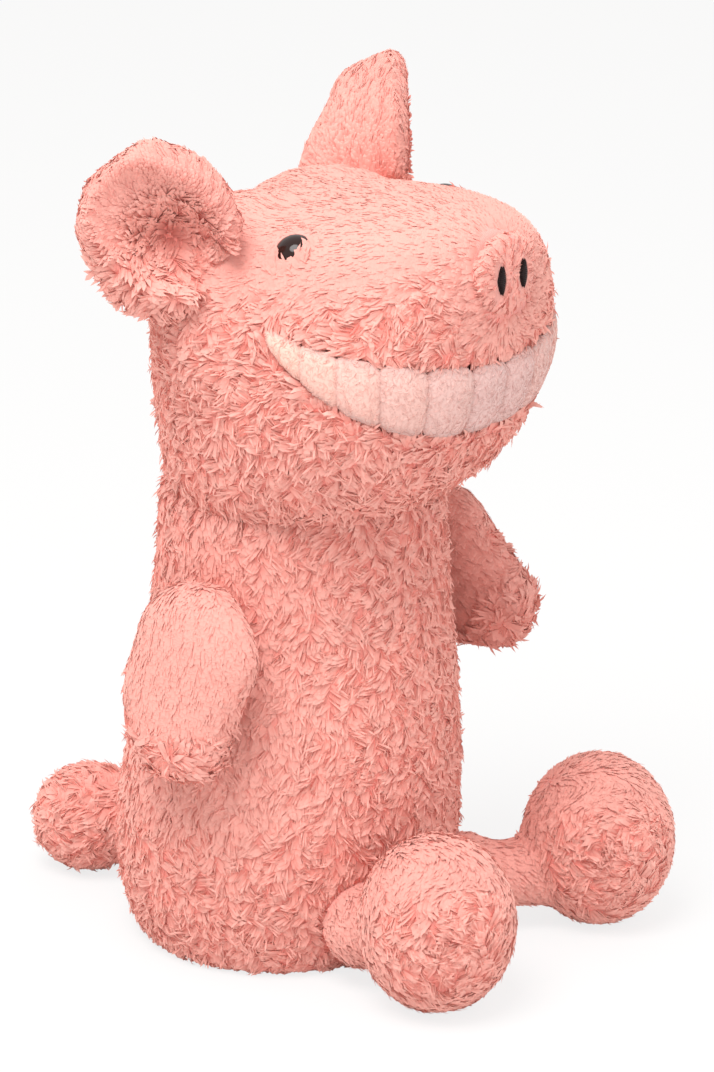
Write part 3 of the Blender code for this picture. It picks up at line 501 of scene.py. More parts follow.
def stuffed(piece, voxel, swell, held, pressure=4.0):
    """Remeshes a sewn skin and swells it with a short cloth simulation, then subdivides it."""
    remeshed(piece, voxel)
    start = coords(piece)
    pins = piece.vertex_groups.new(name="held")
    pins.add([i for i, p in enumerate(start) if held(p)], 1.0, "REPLACE")
    cloth = piece.modifiers.new("Cloth", "CLOTH")
    cloth.settings.use_pressure = True
    cloth.settings.uniform_pressure_force = pressure
    cloth.settings.effector_weights.gravity = 0
    cloth.settings.vertex_group_mass = pins.name
    cloth.collision_settings.use_collision = False
    scene = bpy.context.scene
    for step in range(1, SIMULATED_FRAMES + 1):
        scene.frame_set(step)
    applied(piece)
    moved = coords(piece) - start
    far = np.linalg.norm(moved, axis=1, keepdims=True)
    set_coords(piece, start + moved * np.minimum(1, swell / np.maximum(far, 1e-9)))
    piece.vertex_groups.clear()
    scene.frame_set(1)
    subdivided(piece)


# Materials


class Wire:
    """An output of a node. Arithmetic on it adds maths nodes."""

    def __init__(self, nodes, socket):
        self.nodes, self.socket = nodes, socket

    def __add__(self, other):
        return self.nodes.math("ADD", self, other)

    def __sub__(self, other):
        return self.nodes.math("SUBTRACT", self, other)

    def __rsub__(self, other):
        return self.nodes.math("SUBTRACT", other, self)

    def __mul__(self, other):
        return self.nodes.math("MULTIPLY", self, other)

    def __truediv__(self, other):
        return self.nodes.math("DIVIDE", self, other)

    def __rtruediv__(self, other):
        return self.nodes.math("DIVIDE", other, self)


class Nodes:
    """Adds nodes to one node tree and links them."""

    def __init__(self, tree):
        self.tree = tree

    def node(self, kind, inputs=None, **settings):
        """Adds a node; an input's key is its number or name, its value a number or a wire."""
        made = self.tree.nodes.new(kind)
        for key, value in settings.items():
            setattr(made, key, value)
        for key, value in (inputs or {}).items():
            if isinstance(key, int):
                socket = made.inputs[key]
            else:
                socket = next(s for s in made.inputs if s.enabled and s.name == key)
            if isinstance(value, Wire):
                self.tree.links.new(value.socket, socket)
            else:
                socket.default_value = value
        return made

    def out(self, kind, inputs=None, key=0, **settings):
        """Adds a node and gives one of its outputs."""
        return Wire(self, self.node(kind, inputs, **settings).outputs[key])

    def outs(self, kind, inputs=None, **settings):
        """Adds a node and gives all of its outputs by name."""
        made = self.node(kind, inputs, **settings)
        return {socket.name: Wire(self, socket) for socket in made.outputs if socket.enabled}

    def math(self, operation, a, b=0.0, clamp=False):
        return self.out("ShaderNodeMath", {0: a, 1: b}, operation=operation, use_clamp=clamp)

    def vector(self, operation, a, b=None):
        inputs = {0: a} if b is None else {0: a, 3 if operation == "SCALE" else 1: b}
        key = "Value" if operation in ("DOT_PRODUCT", "LENGTH") else "Vector"
        return self.out("ShaderNodeVectorMath", inputs, key, operation=operation)

    def xyz(self, x=0.0, y=0.0, z=0.0):
        return self.out("ShaderNodeCombineXYZ", {"X": x, "Y": y, "Z": z})

    def parts(self, vector):
        return self.outs("ShaderNodeSeparateXYZ", {0: vector})

    def mix(self, factor, a, b):
        return self.out("ShaderNodeMix", {0: factor, 6: a, 7: b}, 2, data_type="RGBA")

    def toned(self, tint, value):
        return self.out("ShaderNodeHueSaturation", {"Value": value, "Color": tint})

    def ramp(self, value, stops):
        made = self.node("ShaderNodeValToRGB", {"Fac": value})
        elements = made.color_ramp.elements
        while len(elements) < len(stops):
            elements.new(0.5)
        for element, (place, tint) in zip(elements, stops):
            element.position = place
            element.color = tint
        return Wire(self, made.outputs["Color"])

    def place(self):
        return self.out("ShaderNodeTexCoord", key="Object")

    def attribute(self, name):
        return self.out("ShaderNodeAttribute", key="Fac", attribute_name=name)

    def noise(self, place, scale, detail=3.0, rough=0.5):
        inputs = {"Vector": place, "Scale": scale, "Detail": detail, "Roughness": rough}
        return self.out("ShaderNodeTexNoise", inputs)

    def wave(self, place, scale, direction="X", distortion=0.0):
        inputs = {"Vector": place, "Scale": scale, "Distortion": distortion}
        return self.out("ShaderNodeTexWave", inputs, "Fac", bands_direction=direction)

    def through(self, geometry, *steps):
        """Sends a geometry through nodes, one after another."""
        for kind, inputs in steps:
            geometry = self.out(f"GeometryNode{kind}", {"Geometry": geometry, **inputs})
        return geometry


def opaque(tint, strength=1.0):
    return tuple(min(1.0, c * strength) for c in tint) + (1.0,)


MATERIALS = {}


def material(name, paint, bump=None, **sockets):
    """A material whose paint gives its colour and the height that its bump reads."""
    made = bpy.data.materials.new(name)
    made.use_nodes = True
    shader = made.node_tree.nodes["Principled BSDF"]
    for key, value in sockets.items():
        shader.inputs[key.replace("_", " ").title().replace("Ior", "IOR")].default_value = value
    nodes = Nodes(made.node_tree)
    tint, height = paint(nodes)
    nodes.tree.links.new(tint.socket, shader.inputs["Base Color"])
    if bump:
        relief = {"Height": height, "Strength": bump[0], "Distance": bump[1]}
        normal = nodes.out("ShaderNodeBump", relief, "Normal")
        nodes.tree.links.new(normal.socket, shader.inputs["Normal"])
    MATERIALS[name] = made


def pile_paint(nodes, colours):
    """Locks darker and redder at the root as painted shade, paler at the tip, each clump a little
    its own; painted highlight where the pile is pale, painted shade where it is deep.
    """
    along, painted_highlight = nodes.attribute("along"), nodes.attribute("pale")
    stops = (
        (0.05, opaque(colours.pile_root)),
        (0.42, opaque(colours.pile_middle)),
        (0.95, opaque(colours.pile_tip)),
    )
    # Painted highlight: where the pale share is high, the locks take the pale colour along their
    # whole length.
    pale = nodes.math("MULTIPLY", painted_highlight, along + 1.0, True)
    tint = nodes.mix(pale, nodes.ramp(along, stops), opaque(colours.pile_pale))
    # Painted shade: the deep share darkens the locks towards the dark red, most at the root.
    deep = nodes.math("MULTIPLY", nodes.attribute("deep"), 1.15 - along, True)
    tint = nodes.mix(deep, tint, opaque(colours.pile_deep))
    uneven = 0.12 - painted_highlight * 0.09
    patch = nodes.noise(nodes.place(), 70.0, 2.0)
    return nodes.toned(tint, 1.0 - nodes.attribute("tone") * uneven - patch * uneven), None


def backing_paint(nodes, colours):
    """The knit backing that shows between the locks, a little darker than their roots as painted
    shade, with painted highlight where the pile is pale.
    """
    place = nodes.place()
    rows = nodes.wave(place, 380.0, distortion=2.0)
    blotch = nodes.noise(place, 160.0)
    tint = nodes.mix(blotch, opaque(colours.backing, 0.8), opaque(colours.backing, 1.15))
    tint = nodes.mix(rows * 0.25, tint, opaque(colours.backing, 0.6))
    # Painted highlight: the backing takes the pale pile's colour where the pile is pale.
    return nodes.mix(nodes.attribute("pale"), tint, opaque(colours.pile_pale)), rows


def teeth_tint(nodes, colours, corner, *shades):
    """Pinkish white in the middle of the grin, creamier to its corners, with painted shade mixed
    in.
    """
    tint = nodes.mix(corner, opaque(colours.tooth_white), opaque(colours.tooth_cream))
    for share, shade in shades:
        tint = nodes.mix(share, tint, shade)
    return tint


def velour_paint(nodes, colours):
    """Short velour of the teeth, darker round their rims as painted shade in the valleys and under
    the lips.
    """
    place = nodes.place()
    shade = nodes.attribute("rim") * 0.75, opaque(colours.tooth_white, 0.66)
    tint = teeth_tint(nodes, colours, nodes.attribute("corner"), shade)
    nap = nodes.noise(place, 900.0, 4.0, 0.6)
    return nodes.toned(tint, nap * 0.16 + 0.86 + nodes.noise(place, 120.0, 2.0) * 0.12), nap


def nap_paint(nodes, colours):
    """Hairs of the teeth's nap, darker at their roots and round the rims as painted shade."""
    shade = opaque(colours.tooth_shade)
    root, rim = (1.0 - nodes.attribute("along")) * 0.3, nodes.attribute("rim") * 0.6
    tint = teeth_tint(nodes, colours, nodes.attribute("pale"), (root, shade), (rim, shade))
    patch = nodes.noise(nodes.place(), 260.0, 2.0)
    return nodes.toned(tint, nodes.attribute("tone") * 0.08 + 0.88 + patch * 0.12), None


def woven_paint(nodes, tint, scale):
    """Plain weave for the cloths inside."""
    place = nodes.place()
    weave = nodes.wave(place, scale) * nodes.wave(place, scale, "Z")
    base = nodes.mix(weave, opaque(tint, 0.7), opaque(tint))
    return nodes.mix(nodes.noise(place, scale / 4) * 0.4, base, opaque(tint, 0.8)), weave


def fibre_paint(nodes, tint):
    """Matted fibres."""
    strands = nodes.noise(nodes.place(), 500.0, 6.0, 0.75)
    return nodes.mix(strands, opaque(tint, 0.75), opaque(tint)), strands


def plastic_paint(nodes, tint):
    """Moulded plastic with faint flow marks."""
    place = nodes.place()
    flow = nodes.noise(place, 220.0, 2.0)
    return nodes.mix(flow, opaque(tint, 0.8), opaque(tint, 1.3)), nodes.noise(place, 1500.0)


def thread_paint(nodes, dark, light, *rows):
    """Threads that lie side by side, or the turns of one twisted thread."""
    threads = nodes.wave(nodes.place(), *rows)
    return nodes.mix(threads, dark, light), threads


def make_materials(c):
    material(
        "pile", lambda nodes: pile_paint(nodes, c), roughness=0.9, specular_ior_level=0.0,
        sheen_weight=1.0, sheen_roughness=0.5, sheen_tint=opaque(c.pile_sheen),
    )
    material(
        "backing", lambda nodes: backing_paint(nodes, c), (0.5, 0.0003), roughness=0.9,
        sheen_weight=0.3,
    )
    material(
        "velour", lambda nodes: velour_paint(nodes, c), (0.6, 0.00025), roughness=0.85,
        sheen_weight=0.5, sheen_roughness=0.35,
    )
    material(
        "nap", lambda nodes: nap_paint(nodes, c), roughness=0.85, sheen_weight=0.3,
        sheen_roughness=0.5, specular_ior_level=0.15,
    )
    for name, tint, scale in (("lining", c.lining, 700.0), ("pellet_cloth", c.pellet_cloth, 500.0)):
        material(
            name, lambda nodes: woven_paint(nodes, tint, scale), (0.4, 0.0002), roughness=0.9,
            sheen_weight=0.2,
        )
    material(
        "fibre", lambda nodes: fibre_paint(nodes, c.fibre), (0.8, 0.0006), roughness=0.95,
        sheen_weight=0.4,
    )
    for name, tint, roughness in (("eye", c.eye_brown, 0.10), ("washer", c.washer, 0.4)):
        material(
            name, lambda nodes: plastic_paint(nodes, tint), (0.02, 0.0001), roughness=roughness,
            specular_ior_level=0.3,
        )
    dark, light = opaque(c.thread, 0.5), opaque(c.thread, 1.9)
    material(
        "thread", lambda nodes: thread_paint(nodes, dark, light, 520.0, "Z", 0.6), (0.7, 0.0003),
        roughness=0.6, specular_ior_level=0.2,
    )
    low, high = opaque(c.pile_middle, 0.7), opaque(c.pile_tip)
    material(
        "seam", lambda nodes: thread_paint(nodes, low, high, 900.0, "DIAGONAL"), (0.6, 0.0001),
        roughness=0.7, sheen_weight=0.2,
    )


def dressed(piece, name):
    """Gives a whole piece one material."""
    piece.data.materials.clear()
    piece.data.materials.append(MATERIALS[name])
    for face in piece.data.polygons:
        face.material_index = 0


# The neck's dome, the mouth and other places that several pieces share


def dome_height(sizes, x, y):
    """Height of the neck's dome over a place in plan."""
    flat = np.minimum(x**2 + (y + sizes.neck_forward) ** 2, sizes.neck_radius**2 * 0.999)
    return sizes.neck_top - sizes.neck_radius + np.sqrt(sizes.neck_radius**2 - flat)


def mouth_edges(face, turn):
    """Heights of the mouth's upper and lower edge at an angle round the muzzle."""
    part = np.abs(turn) / MOUTH_END
    top = face.mouth_top + face.mouth_top_rise * part**1.5
    return top, face.mouth_low + face.mouth_low_rise * part**2.6


def round_muzzle(face, points):
    """Angles of points round the mouth's axis, with the heights of the mouth's edges there."""
    turn = np.arctan2(points[:, 0], -(points[:, 1] + face.mouth_axis))
    return turn, *mouth_edges(face, turn)


def eased(value, low, high):
    """A smooth step from 0 at low to 1 at high."""
    t = np.clip((value - low) / (high - low), 0, 1)
    return t * t * (3 - 2 * t)


def unit(v):
    return v / np.maximum(np.linalg.norm(v, axis=-1, keepdims=True), 1e-9)


def blend(a, b, share):
    """Vectors that go from a to b with the share at each point."""
    return a * (1 - share)[:, None] + b * share[:, None]


def distance(points, centre):
    return np.linalg.norm(points - centre, axis=1)


def out_of(turn):
    """Directions out of the head at angles round the mouth's axis."""
    return np.stack([np.sin(turn), -np.cos(turn), np.zeros(len(turn))], axis=1)


def eye_places(context):
    """Where the two eyes sit on the head's skin, with the skin's direction there."""
    face = context.scene.pig_face
    found = []
    for side in SIDES:
        high = Vector((SIGN[side] * face.eye_out, -face.eye_forward, 0.4))
        point, normal, _, _ = PILE["head_tree"].ray_cast(high, Vector((0, 0, -1)))
        found.append((point - normal * face.eye_sink, normal))
    return found


def muzzle_point(face, turn, level, depth):
    """The point of the muzzle at an angle and a height, moved in by a depth."""
    out = Vector((math.sin(turn), -math.cos(turn), 0))
    point, _, _, _ = PILE["head_tree"].ray_cast(Vector((0, -face.mouth_axis, level)), out)
    return point - out * depth


# Geometry Nodes trees


def new_tree(title, inputs):
    """A node group that takes a geometry and these inputs and gives a geometry."""
    tree = bpy.data.node_groups.new(title, "GeometryNodeTree")
    for name, kind in (("Geometry", "Geometry"), *inputs):
        tree.interface.new_socket(name, in_out="INPUT", socket_type=f"NodeSocket{kind}")
    tree.interface.new_socket("Geometry", in_out="OUTPUT", socket_type="NodeSocketGeometry")
    nodes = Nodes(tree)
    return nodes, nodes.outs("NodeGroupInput")


def stitch_tree():
    """A ring of running stitches in the plane of the floor."""
    lengths = ("Radius", "Height", "Step", "Stitch Length", "Thread Radius")
    inputs = [(name, "Float") for name in lengths] + [("Material", "Material")]
    nodes, given = new_tree("Stitches", inputs)
    circle = {"Resolution": 128, "Radius": given["Radius"]}
    stops = nodes.outs(
        "GeometryNodeCurveToPoints",
        {"Curve": nodes.out("GeometryNodeCurvePrimitiveCircle", circle), "Length": given["Step"]},
        mode="LENGTH",
    )
    size = {"Vertices": 6, "Radius": given["Thread Radius"], "Depth": given["Stitch Length"]}
    thread = nodes.out("GeometryNodeMeshCylinder", {"Side Segments": 3, **size}, "Mesh")
    placed = {"Points": stops["Points"], "Instance": thread, "Rotation": stops["Rotation"]}
    sewn = nodes.through(
        nodes.out("GeometryNodeInstanceOnPoints", placed),
        ("RealizeInstances", {}),
        ("SetPosition", {"Offset": nodes.xyz(z=given["Height"])}),
        ("SetMaterial", {"Material": given["Material"]}),
    )
    nodes.node("NodeGroupOutput", {0: sewn})
    return nodes.tree


def satin_tree():
    """Threads laid side by side across a leaf that stands in front of the snout."""
    inputs = (
        ("Middle", "Vector"), ("Height", "Float"), ("Width", "Float"), ("Count", "Int"),
        ("Material", "Material"),
    )
    nodes, given = new_tree("Satin stitch", inputs)
    step = given["Height"] / given["Count"]
    start, offset = nodes.xyz(z=given["Height"] * -0.48), nodes.xyz(z=step)
    row = {"Count": given["Count"], "Start Location": start, "Offset": offset}
    level = nodes.parts(nodes.out("GeometryNodeInputPosition"))["Z"]
    part = level * 2.0 / given["Height"]
    leaf = nodes.math("POWER", nodes.math("SUBTRACT", 1.0, part * part, True), 0.72)
    thin = step * 0.62
    thread = {"Segments": 6, "Rings": 6, "Radius": 1.0}
    placed = {
        "Points": nodes.out("GeometryNodeMeshLine", row),
        "Instance": nodes.out("GeometryNodeMeshUVSphere", thread, "Mesh"),
        "Scale": nodes.xyz(leaf * given["Width"] * 0.5, thin, thin),
    }
    sewn = nodes.through(
        nodes.out("GeometryNodeInstanceOnPoints", placed),
        ("RealizeInstances", {}),
        ("SetPosition", {"Offset": given["Middle"]}),
        ("SetShadeSmooth", {}),
        ("SetMaterial", {"Material": given["Material"]}),
    )
    nodes.node("NodeGroupOutput", {0: sewn})
    return nodes.tree


def lock_object():
    """One lock of pile, unit long and unit in radius, bent forwards, closed at its root."""
    points, along = [], []
    for height, radius, bend in ((0.0, 0.75, 0.0), (0.68, 1.0, 1.6)):
        for k in range(3):
            turn = 2 * math.pi * k / 3
            points.append((radius * math.cos(turn) + bend, radius * math.sin(turn), height))
            along.append(height)
    points.append((4.2, 0.0, 0.97))
    along.append(1.0)
    faces = [(2, 1, 0)]
    for k in range(3):
        j = (k + 1) % 3
        faces += [(k, j, 3 + j), (k, 3 + j, 3 + k), (3 + k, 3 + j, 6)]
    made = add_mesh("lock", points, faces)
    write(made, "along", along)
    bpy.context.scene.collection.objects.unlink(made)
    return made


PILE_INPUTS = (
    ("Lock", "Object"),
    *((name, "Float") for name in ("Spacing", "Length", "Radius", "Flatness", "Clump Size")),
    *((name, "Float") for name in ("Clumping", "Swirl Size", "Swirl", "Scatter", "Fine Share")),
    *((name, "Float") for name in ("From Height", "To Height", "Floor")),
    ("Seed", "Int"),
    ("Material", "Material"),
)


def pile_tree():
    """Scatters locks over a skin. They follow its flow, gather in clumps and lie over."""
    nodes, given = new_tree("Pile", PILE_INPUTS)
    out, maths, vector = nodes.out, nodes.math, nodes.vector

    def named(name, kind="FLOAT"):
        return out("GeometryNodeInputNamedAttribute", {"Name": name}, data_type=kind)

    def chance(low, high, seed):
        inputs = {"Min": low, "Max": high, "Seed": given["Seed"] + seed}
        return nodes.outs("FunctionNodeRandomValue", inputs, data_type="FLOAT")["Value"]

    place = out("GeometryNodeInputPosition")
    spot = nodes.parts(place)
    over = maths("GREATER_THAN", spot["Z"], given["From Height"])
    under = maths("LESS_THAN", spot["Z"], given["To Height"])
    roots = nodes.outs(
        "GeometryNodeDistributePointsOnFaces",
        {
            "Mesh": given["Geometry"],
            "Selection": over * under,
            "Distance Min": given["Spacing"] * 0.55,
            "Density Max": 1.0 / (given["Spacing"] * given["Spacing"]),
            "Density Factor": named("cover"),
            "Seed": given["Seed"],
        },
        distribute_method="POISSON",
    )
    normal = roots["Normal"]

    cell = {"Vector": place, "Scale": 1.0 / given["Clump Size"]}
    cells = nodes.outs("ShaderNodeTexVoronoi", cell, voronoi_dimensions="3D")
    own = nodes.parts(cells["Color"])
    loose = named("loose")
    swirl = nodes.noise(place, 1.0 / given["Swirl Size"], 1.0)
    turn = (swirl - 0.5) * (given["Swirl"] * 4.0) + (own["X"] - 0.5) * (given["Scatter"] * 2.0)
    turned = {
        "Vector": named("flow", "FLOAT_VECTOR"),
        "Axis": normal,
        "Angle": turn * loose + chance(-0.22, 0.22, 1),
    }
    flow = out("ShaderNodeVectorRotate", turned, rotation_type="AXIS_ANGLE")

    fine = maths("LESS_THAN", chance(0.0, 1.0, 2), given["Fine Share"])
    rise = (chance(-0.12, 0.12, 3) + fine * 0.22 + (own["Y"] - 0.5) * 0.35) * loose
    lean = named("lean") - rise
    reach = named("reach") * given["Length"] * chance(0.78, 1.12, 4)
    reach = reach * (own["Z"] * 0.3 + 0.85) * (fine * 0.12 + 1.0)
    ahead = vector("SCALE", flow, reach * maths("SINE", lean))
    aim = vector("ADD", ahead, vector("SCALE", normal, reach * maths("COSINE", lean)))
    gather = vector("SUBTRACT", cells["Position"], place)
    off = vector("SCALE", normal, vector("DOT_PRODUCT", gather, normal))
    gather = vector("SCALE", vector("SUBTRACT", gather, off), given["Clumping"] * loose)
    aim = vector("ADD", aim, gather)

    axes = {"Primary Axis": aim, "Secondary Axis": flow}
    wide = given["Radius"] * chance(0.75, 1.2, 5) * named("broad") * (1.0 - fine * 0.6)
    flat = wide * given["Flatness"] * (loose * 0.7 + 0.3)
    placed = {
        "Points": roots["Points"],
        "Instance": out("GeometryNodeObjectInfo", {"Object": given["Lock"]}, "Geometry"),
        "Rotation": out("FunctionNodeAxesToRotation", axes, primary_axis="Z", secondary_axis="X"),
        "Scale": nodes.xyz(flat, wide, vector("LENGTH", aim)),
    }
    tone = {
        "Geometry": out("GeometryNodeInstanceOnPoints", placed),
        "Name": "tone",
        "Value": own["Y"] * 0.65 + chance(0.0, 0.35, 6),
    }
    spent = ("flow", "cover", "lean", "loose", "reach", "broad")
    lifted = nodes.xyz(spot["X"], spot["Y"], maths("MAXIMUM", spot["Z"], given["Floor"]))
    grown = nodes.through(
        out("GeometryNodeStoreNamedAttribute", tone, data_type="FLOAT", domain="INSTANCE"),
        *(("RemoveAttribute", {"Name": name}) for name in spent),
        ("RealizeInstances", {}),
        ("SetPosition", {"Position": lifted}),
        ("SetShadeSmooth", {"Shade Smooth": False}),
        ("SetMaterial", {"Material": given["Material"]}),
    )
    nodes.node("NodeGroupOutput", {0: grown})
    return nodes.tree


def run_tree(tree, carrier, name, values):
    """Runs a tree on a copy of a piece and gives the result as a plain mesh."""
    made = linked(name, carrier.data.copy())
    step = made.modifiers.new("Nodes", "NODES")
    step.node_group = tree
    for item in tree.interface.items_tree:
        if item.name in values and item.in_out == "INPUT":
            step[item.identifier] = values[item.name]
    return applied(made)


PILE = {}
SKINS = {}
# For the pile, pale is a share of painted highlight and deep a share of painted shade; for the
# teeth's nap, pale is the corner's cream.
PLAIN_PILE = {
    "cover": 1.0, "pale": 0.0, "deep": 0.0, "lean": 0.0, "loose": 1.0, "reach": 1.0, "broad": 1.0,
}


def describe_pile(skin, rule):
    """Writes what the pile does at each point of a skin, from a rule for that skin."""
    lean = bpy.context.scene.pig_pile.lean
    points, normals = coords(skin).astype(float), normals_of(skin).astype(float)
    told = {**PLAIN_PILE, **rule(points, normals)}
    told["lean"] = lean + told["lean"]
    flow = told.pop("flow")
    write(skin, "flow", unit(flow - normals * (flow * normals).sum(1, keepdims=True)))
    for key, value in told.items():
        write(skin, key, value)


def grow(carrier, name, body, finish, values):
    """Grows pile on a carrier as one piece."""
    pile = bpy.context.scene.pig_pile
    shared = {"Lock": PILE["lock"], "Swirl": pile.swirl, "Scatter": pile.scatter}
    values = {**shared, "Material": MATERIALS[finish], **values}
    made = run_tree(PILE["tree"], carrier, name, values)
    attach(made, body)


def grow_nap(pads, name, body):
    """Grows the short velour nap of the teeth as one piece."""
    pile = bpy.context.scene.pig_pile
    carrier = joined(add_mesh("pads", [], []), [pad.copy() for pad in pads])
    values = {
        "Spacing": pile.nap_spacing,
        "Length": pile.nap_length,
        "Radius": pile.nap_radius,
        "Flatness": 1.0,
        "Clump Size": pile.nap_length * 1.6,
        "Clumping": pile.clump / 2,
        "Swirl Size": pile.swirl_size / 2,
        "Fine Share": 0.0,
        "From Height": -1.0,
        "To Height": 1.0,
        "Floor": 0.0,
        "Seed": pile.seed,
    }
    grow(carrier, name, body, "nap", values)
    bpy.data.objects.remove(carrier, do_unlink=True)


def grow_pile(skin, body, bands=(), neighbours=(), spared_above=1.0):
    """Grows the pile of one skin in bands of height, shorter where a neighbour lies close.

    Above a height the pile keeps its length, so that it hangs over what lies below it.
    """
    pile = bpy.context.scene.pig_pile
    reach_data, cover_data = (skin.data.attributes[key].data for key in ("reach", "cover"))
    reach, cover = read(reach_data, "value", 1), read(cover_data, "value", 1)
    for other in neighbours:
        near = tree_of(other)
        for i, p in enumerate(coords(skin)):
            found, normal, _, far = near.find_nearest(Vector(p), NEIGHBOUR_REACH)
            if found is not None and p[2] < spared_above:
                inside = (Vector(p) - found).dot(normal) < 0
                room = 0.0 if inside else float(eased(far, -0.001, 0.0045))
                reach[i] = min(reach[i], room)
    cover[reach < 0.12] = 0
    reach_data.foreach_set("value", np.maximum(reach, 0.2))
    cover_data.foreach_set("value", cover)
    values = {
        "Spacing": pile.spacing,
        "Length": pile.lock_length,
        "Radius": pile.lock_radius,
        "Flatness": pile.flatness,
        "Clump Size": pile.clump_size,
        "Clumping": pile.clump,
        "Swirl Size": pile.swirl_size,
        "Fine Share": pile.fine_share,
        "Floor": PILE_FLOOR,
    }
    edges = (-1.0,) + tuple(bands) + (1.0,)
    for k, (low, high) in enumerate(zip(edges, edges[1:])):
        name = skin.name.replace("_skin", "_pile") + (f"_{k + 1}" if bands else "")
        values.update({"From Height": low, "To Height": high, "Seed": pile.seed + k})
        grow(skin, name, body, "pile", values)


def finish_skin(skin, body, nodes, finish="backing"):
    dressed(skin, finish)
    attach(skin, body)
    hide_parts(*nodes)
    SKINS[skin.name] = skin


def finish_hard(piece, node, finish):
    dressed(piece, finish)
    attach(piece, "head")
    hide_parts(node)


# Operators


class PIG_OT_materials(bpy.types.Operator):
    """Mix the finishes and lay out the pile's lock and tree"""

    bl_idname = "pig.materials"
    bl_label = "Materials and pile"

    def execute(self, context):
        make_materials(context.scene.pig_colours)
        PILE["lock"] = lock_object()
        PILE["tree"] = pile_tree()
        return {"FINISHED"}


class PIG_OT_trunk(bpy.types.Operator):
    """Sew and stuff the trunk"""

    bl_idname = "pig.trunk"
    bl_label = "Trunk"

    def execute(self, context):
        sizes = context.scene.pig_sizes
        rings = []
        for height, radius, lean in smooth_rows(TRUNK_PROFILE_SHARES, 60):
            rise = sizes.neck_rise * eased(height, 0.7, 0.9)
            level = sizes.trunk_height * height + rise - sizes.flat_depth
            wide = (sizes.trunk_width / 2 * radius - sizes.swell / 4, 0, 0)
            deep = (0, sizes.trunk_depth / 2 * radius - sizes.swell / 4, 0)
            rings.append(ring((0, -sizes.trunk_radius * lean, level), wide, deep, 96))
        skin = closed_rings("trunk_skin", rings)

        def top(x, y):
            return dome_height(sizes, x, y) + sizes.neck_rise

        def settled(x, y, z):
            z = np.clip(z, FLOOR_GAP, top(x, y))
            over_seat = 1 - eased(np.hypot(x, y), sizes.seat_radius, 0.0395)
            room = (sizes.seat_thickness + 0.0003) * over_seat
            return np.where(z < 0.003, np.maximum(z, room), z)

        set_heights(skin, lambda x, y, z: np.clip(z, 0, top(x, y)))

        def held(p):
            return p[2] < 0.002 or p[2] > top(p[0], p[1]) - 0.003

        stuffed(skin, sizes.voxel, sizes.swell, held)
        set_heights(skin, settled)
        finish_skin(skin, "torso", ["body_cover"])

        def rule(p, n):
            x, y, z = p.T
            under = eased(z, 0.0005, 0.004) * (n[:, 2] > -0.9)
            seam = np.hypot(x, y + sizes.neck_forward)
            hidden = (seam < 0.037) & (z > 0.135) & (n[:, 2] > 0.75)
            # flank: the side turned to the key lamp, given painted highlight.
            flank = eased(-x, 0.02, 0.05) * eased(z, 0.03, 0.06)
            return {
                "flow": DOWN + np.outer(0.35 * np.sign(x), (1, 0, 0)),
                "cover": np.where(hidden, 0, np.minimum(1, under + 0.1)),
                # Painted shade on the upper trunk below the head and near the floor.
                "deep": 0.1 * eased(z, 0.085, 0.12) + 0.14 * (1 - eased(z, 0.02, 0.06)),
                "pale": 0.35 * flank,
                "loose": 1 - 0.45 * flank,
                "lean": 0.06 * eased(z, 0.136, 0.146),
            }

        describe_pile(skin, rule)
        return {"FINISHED"}


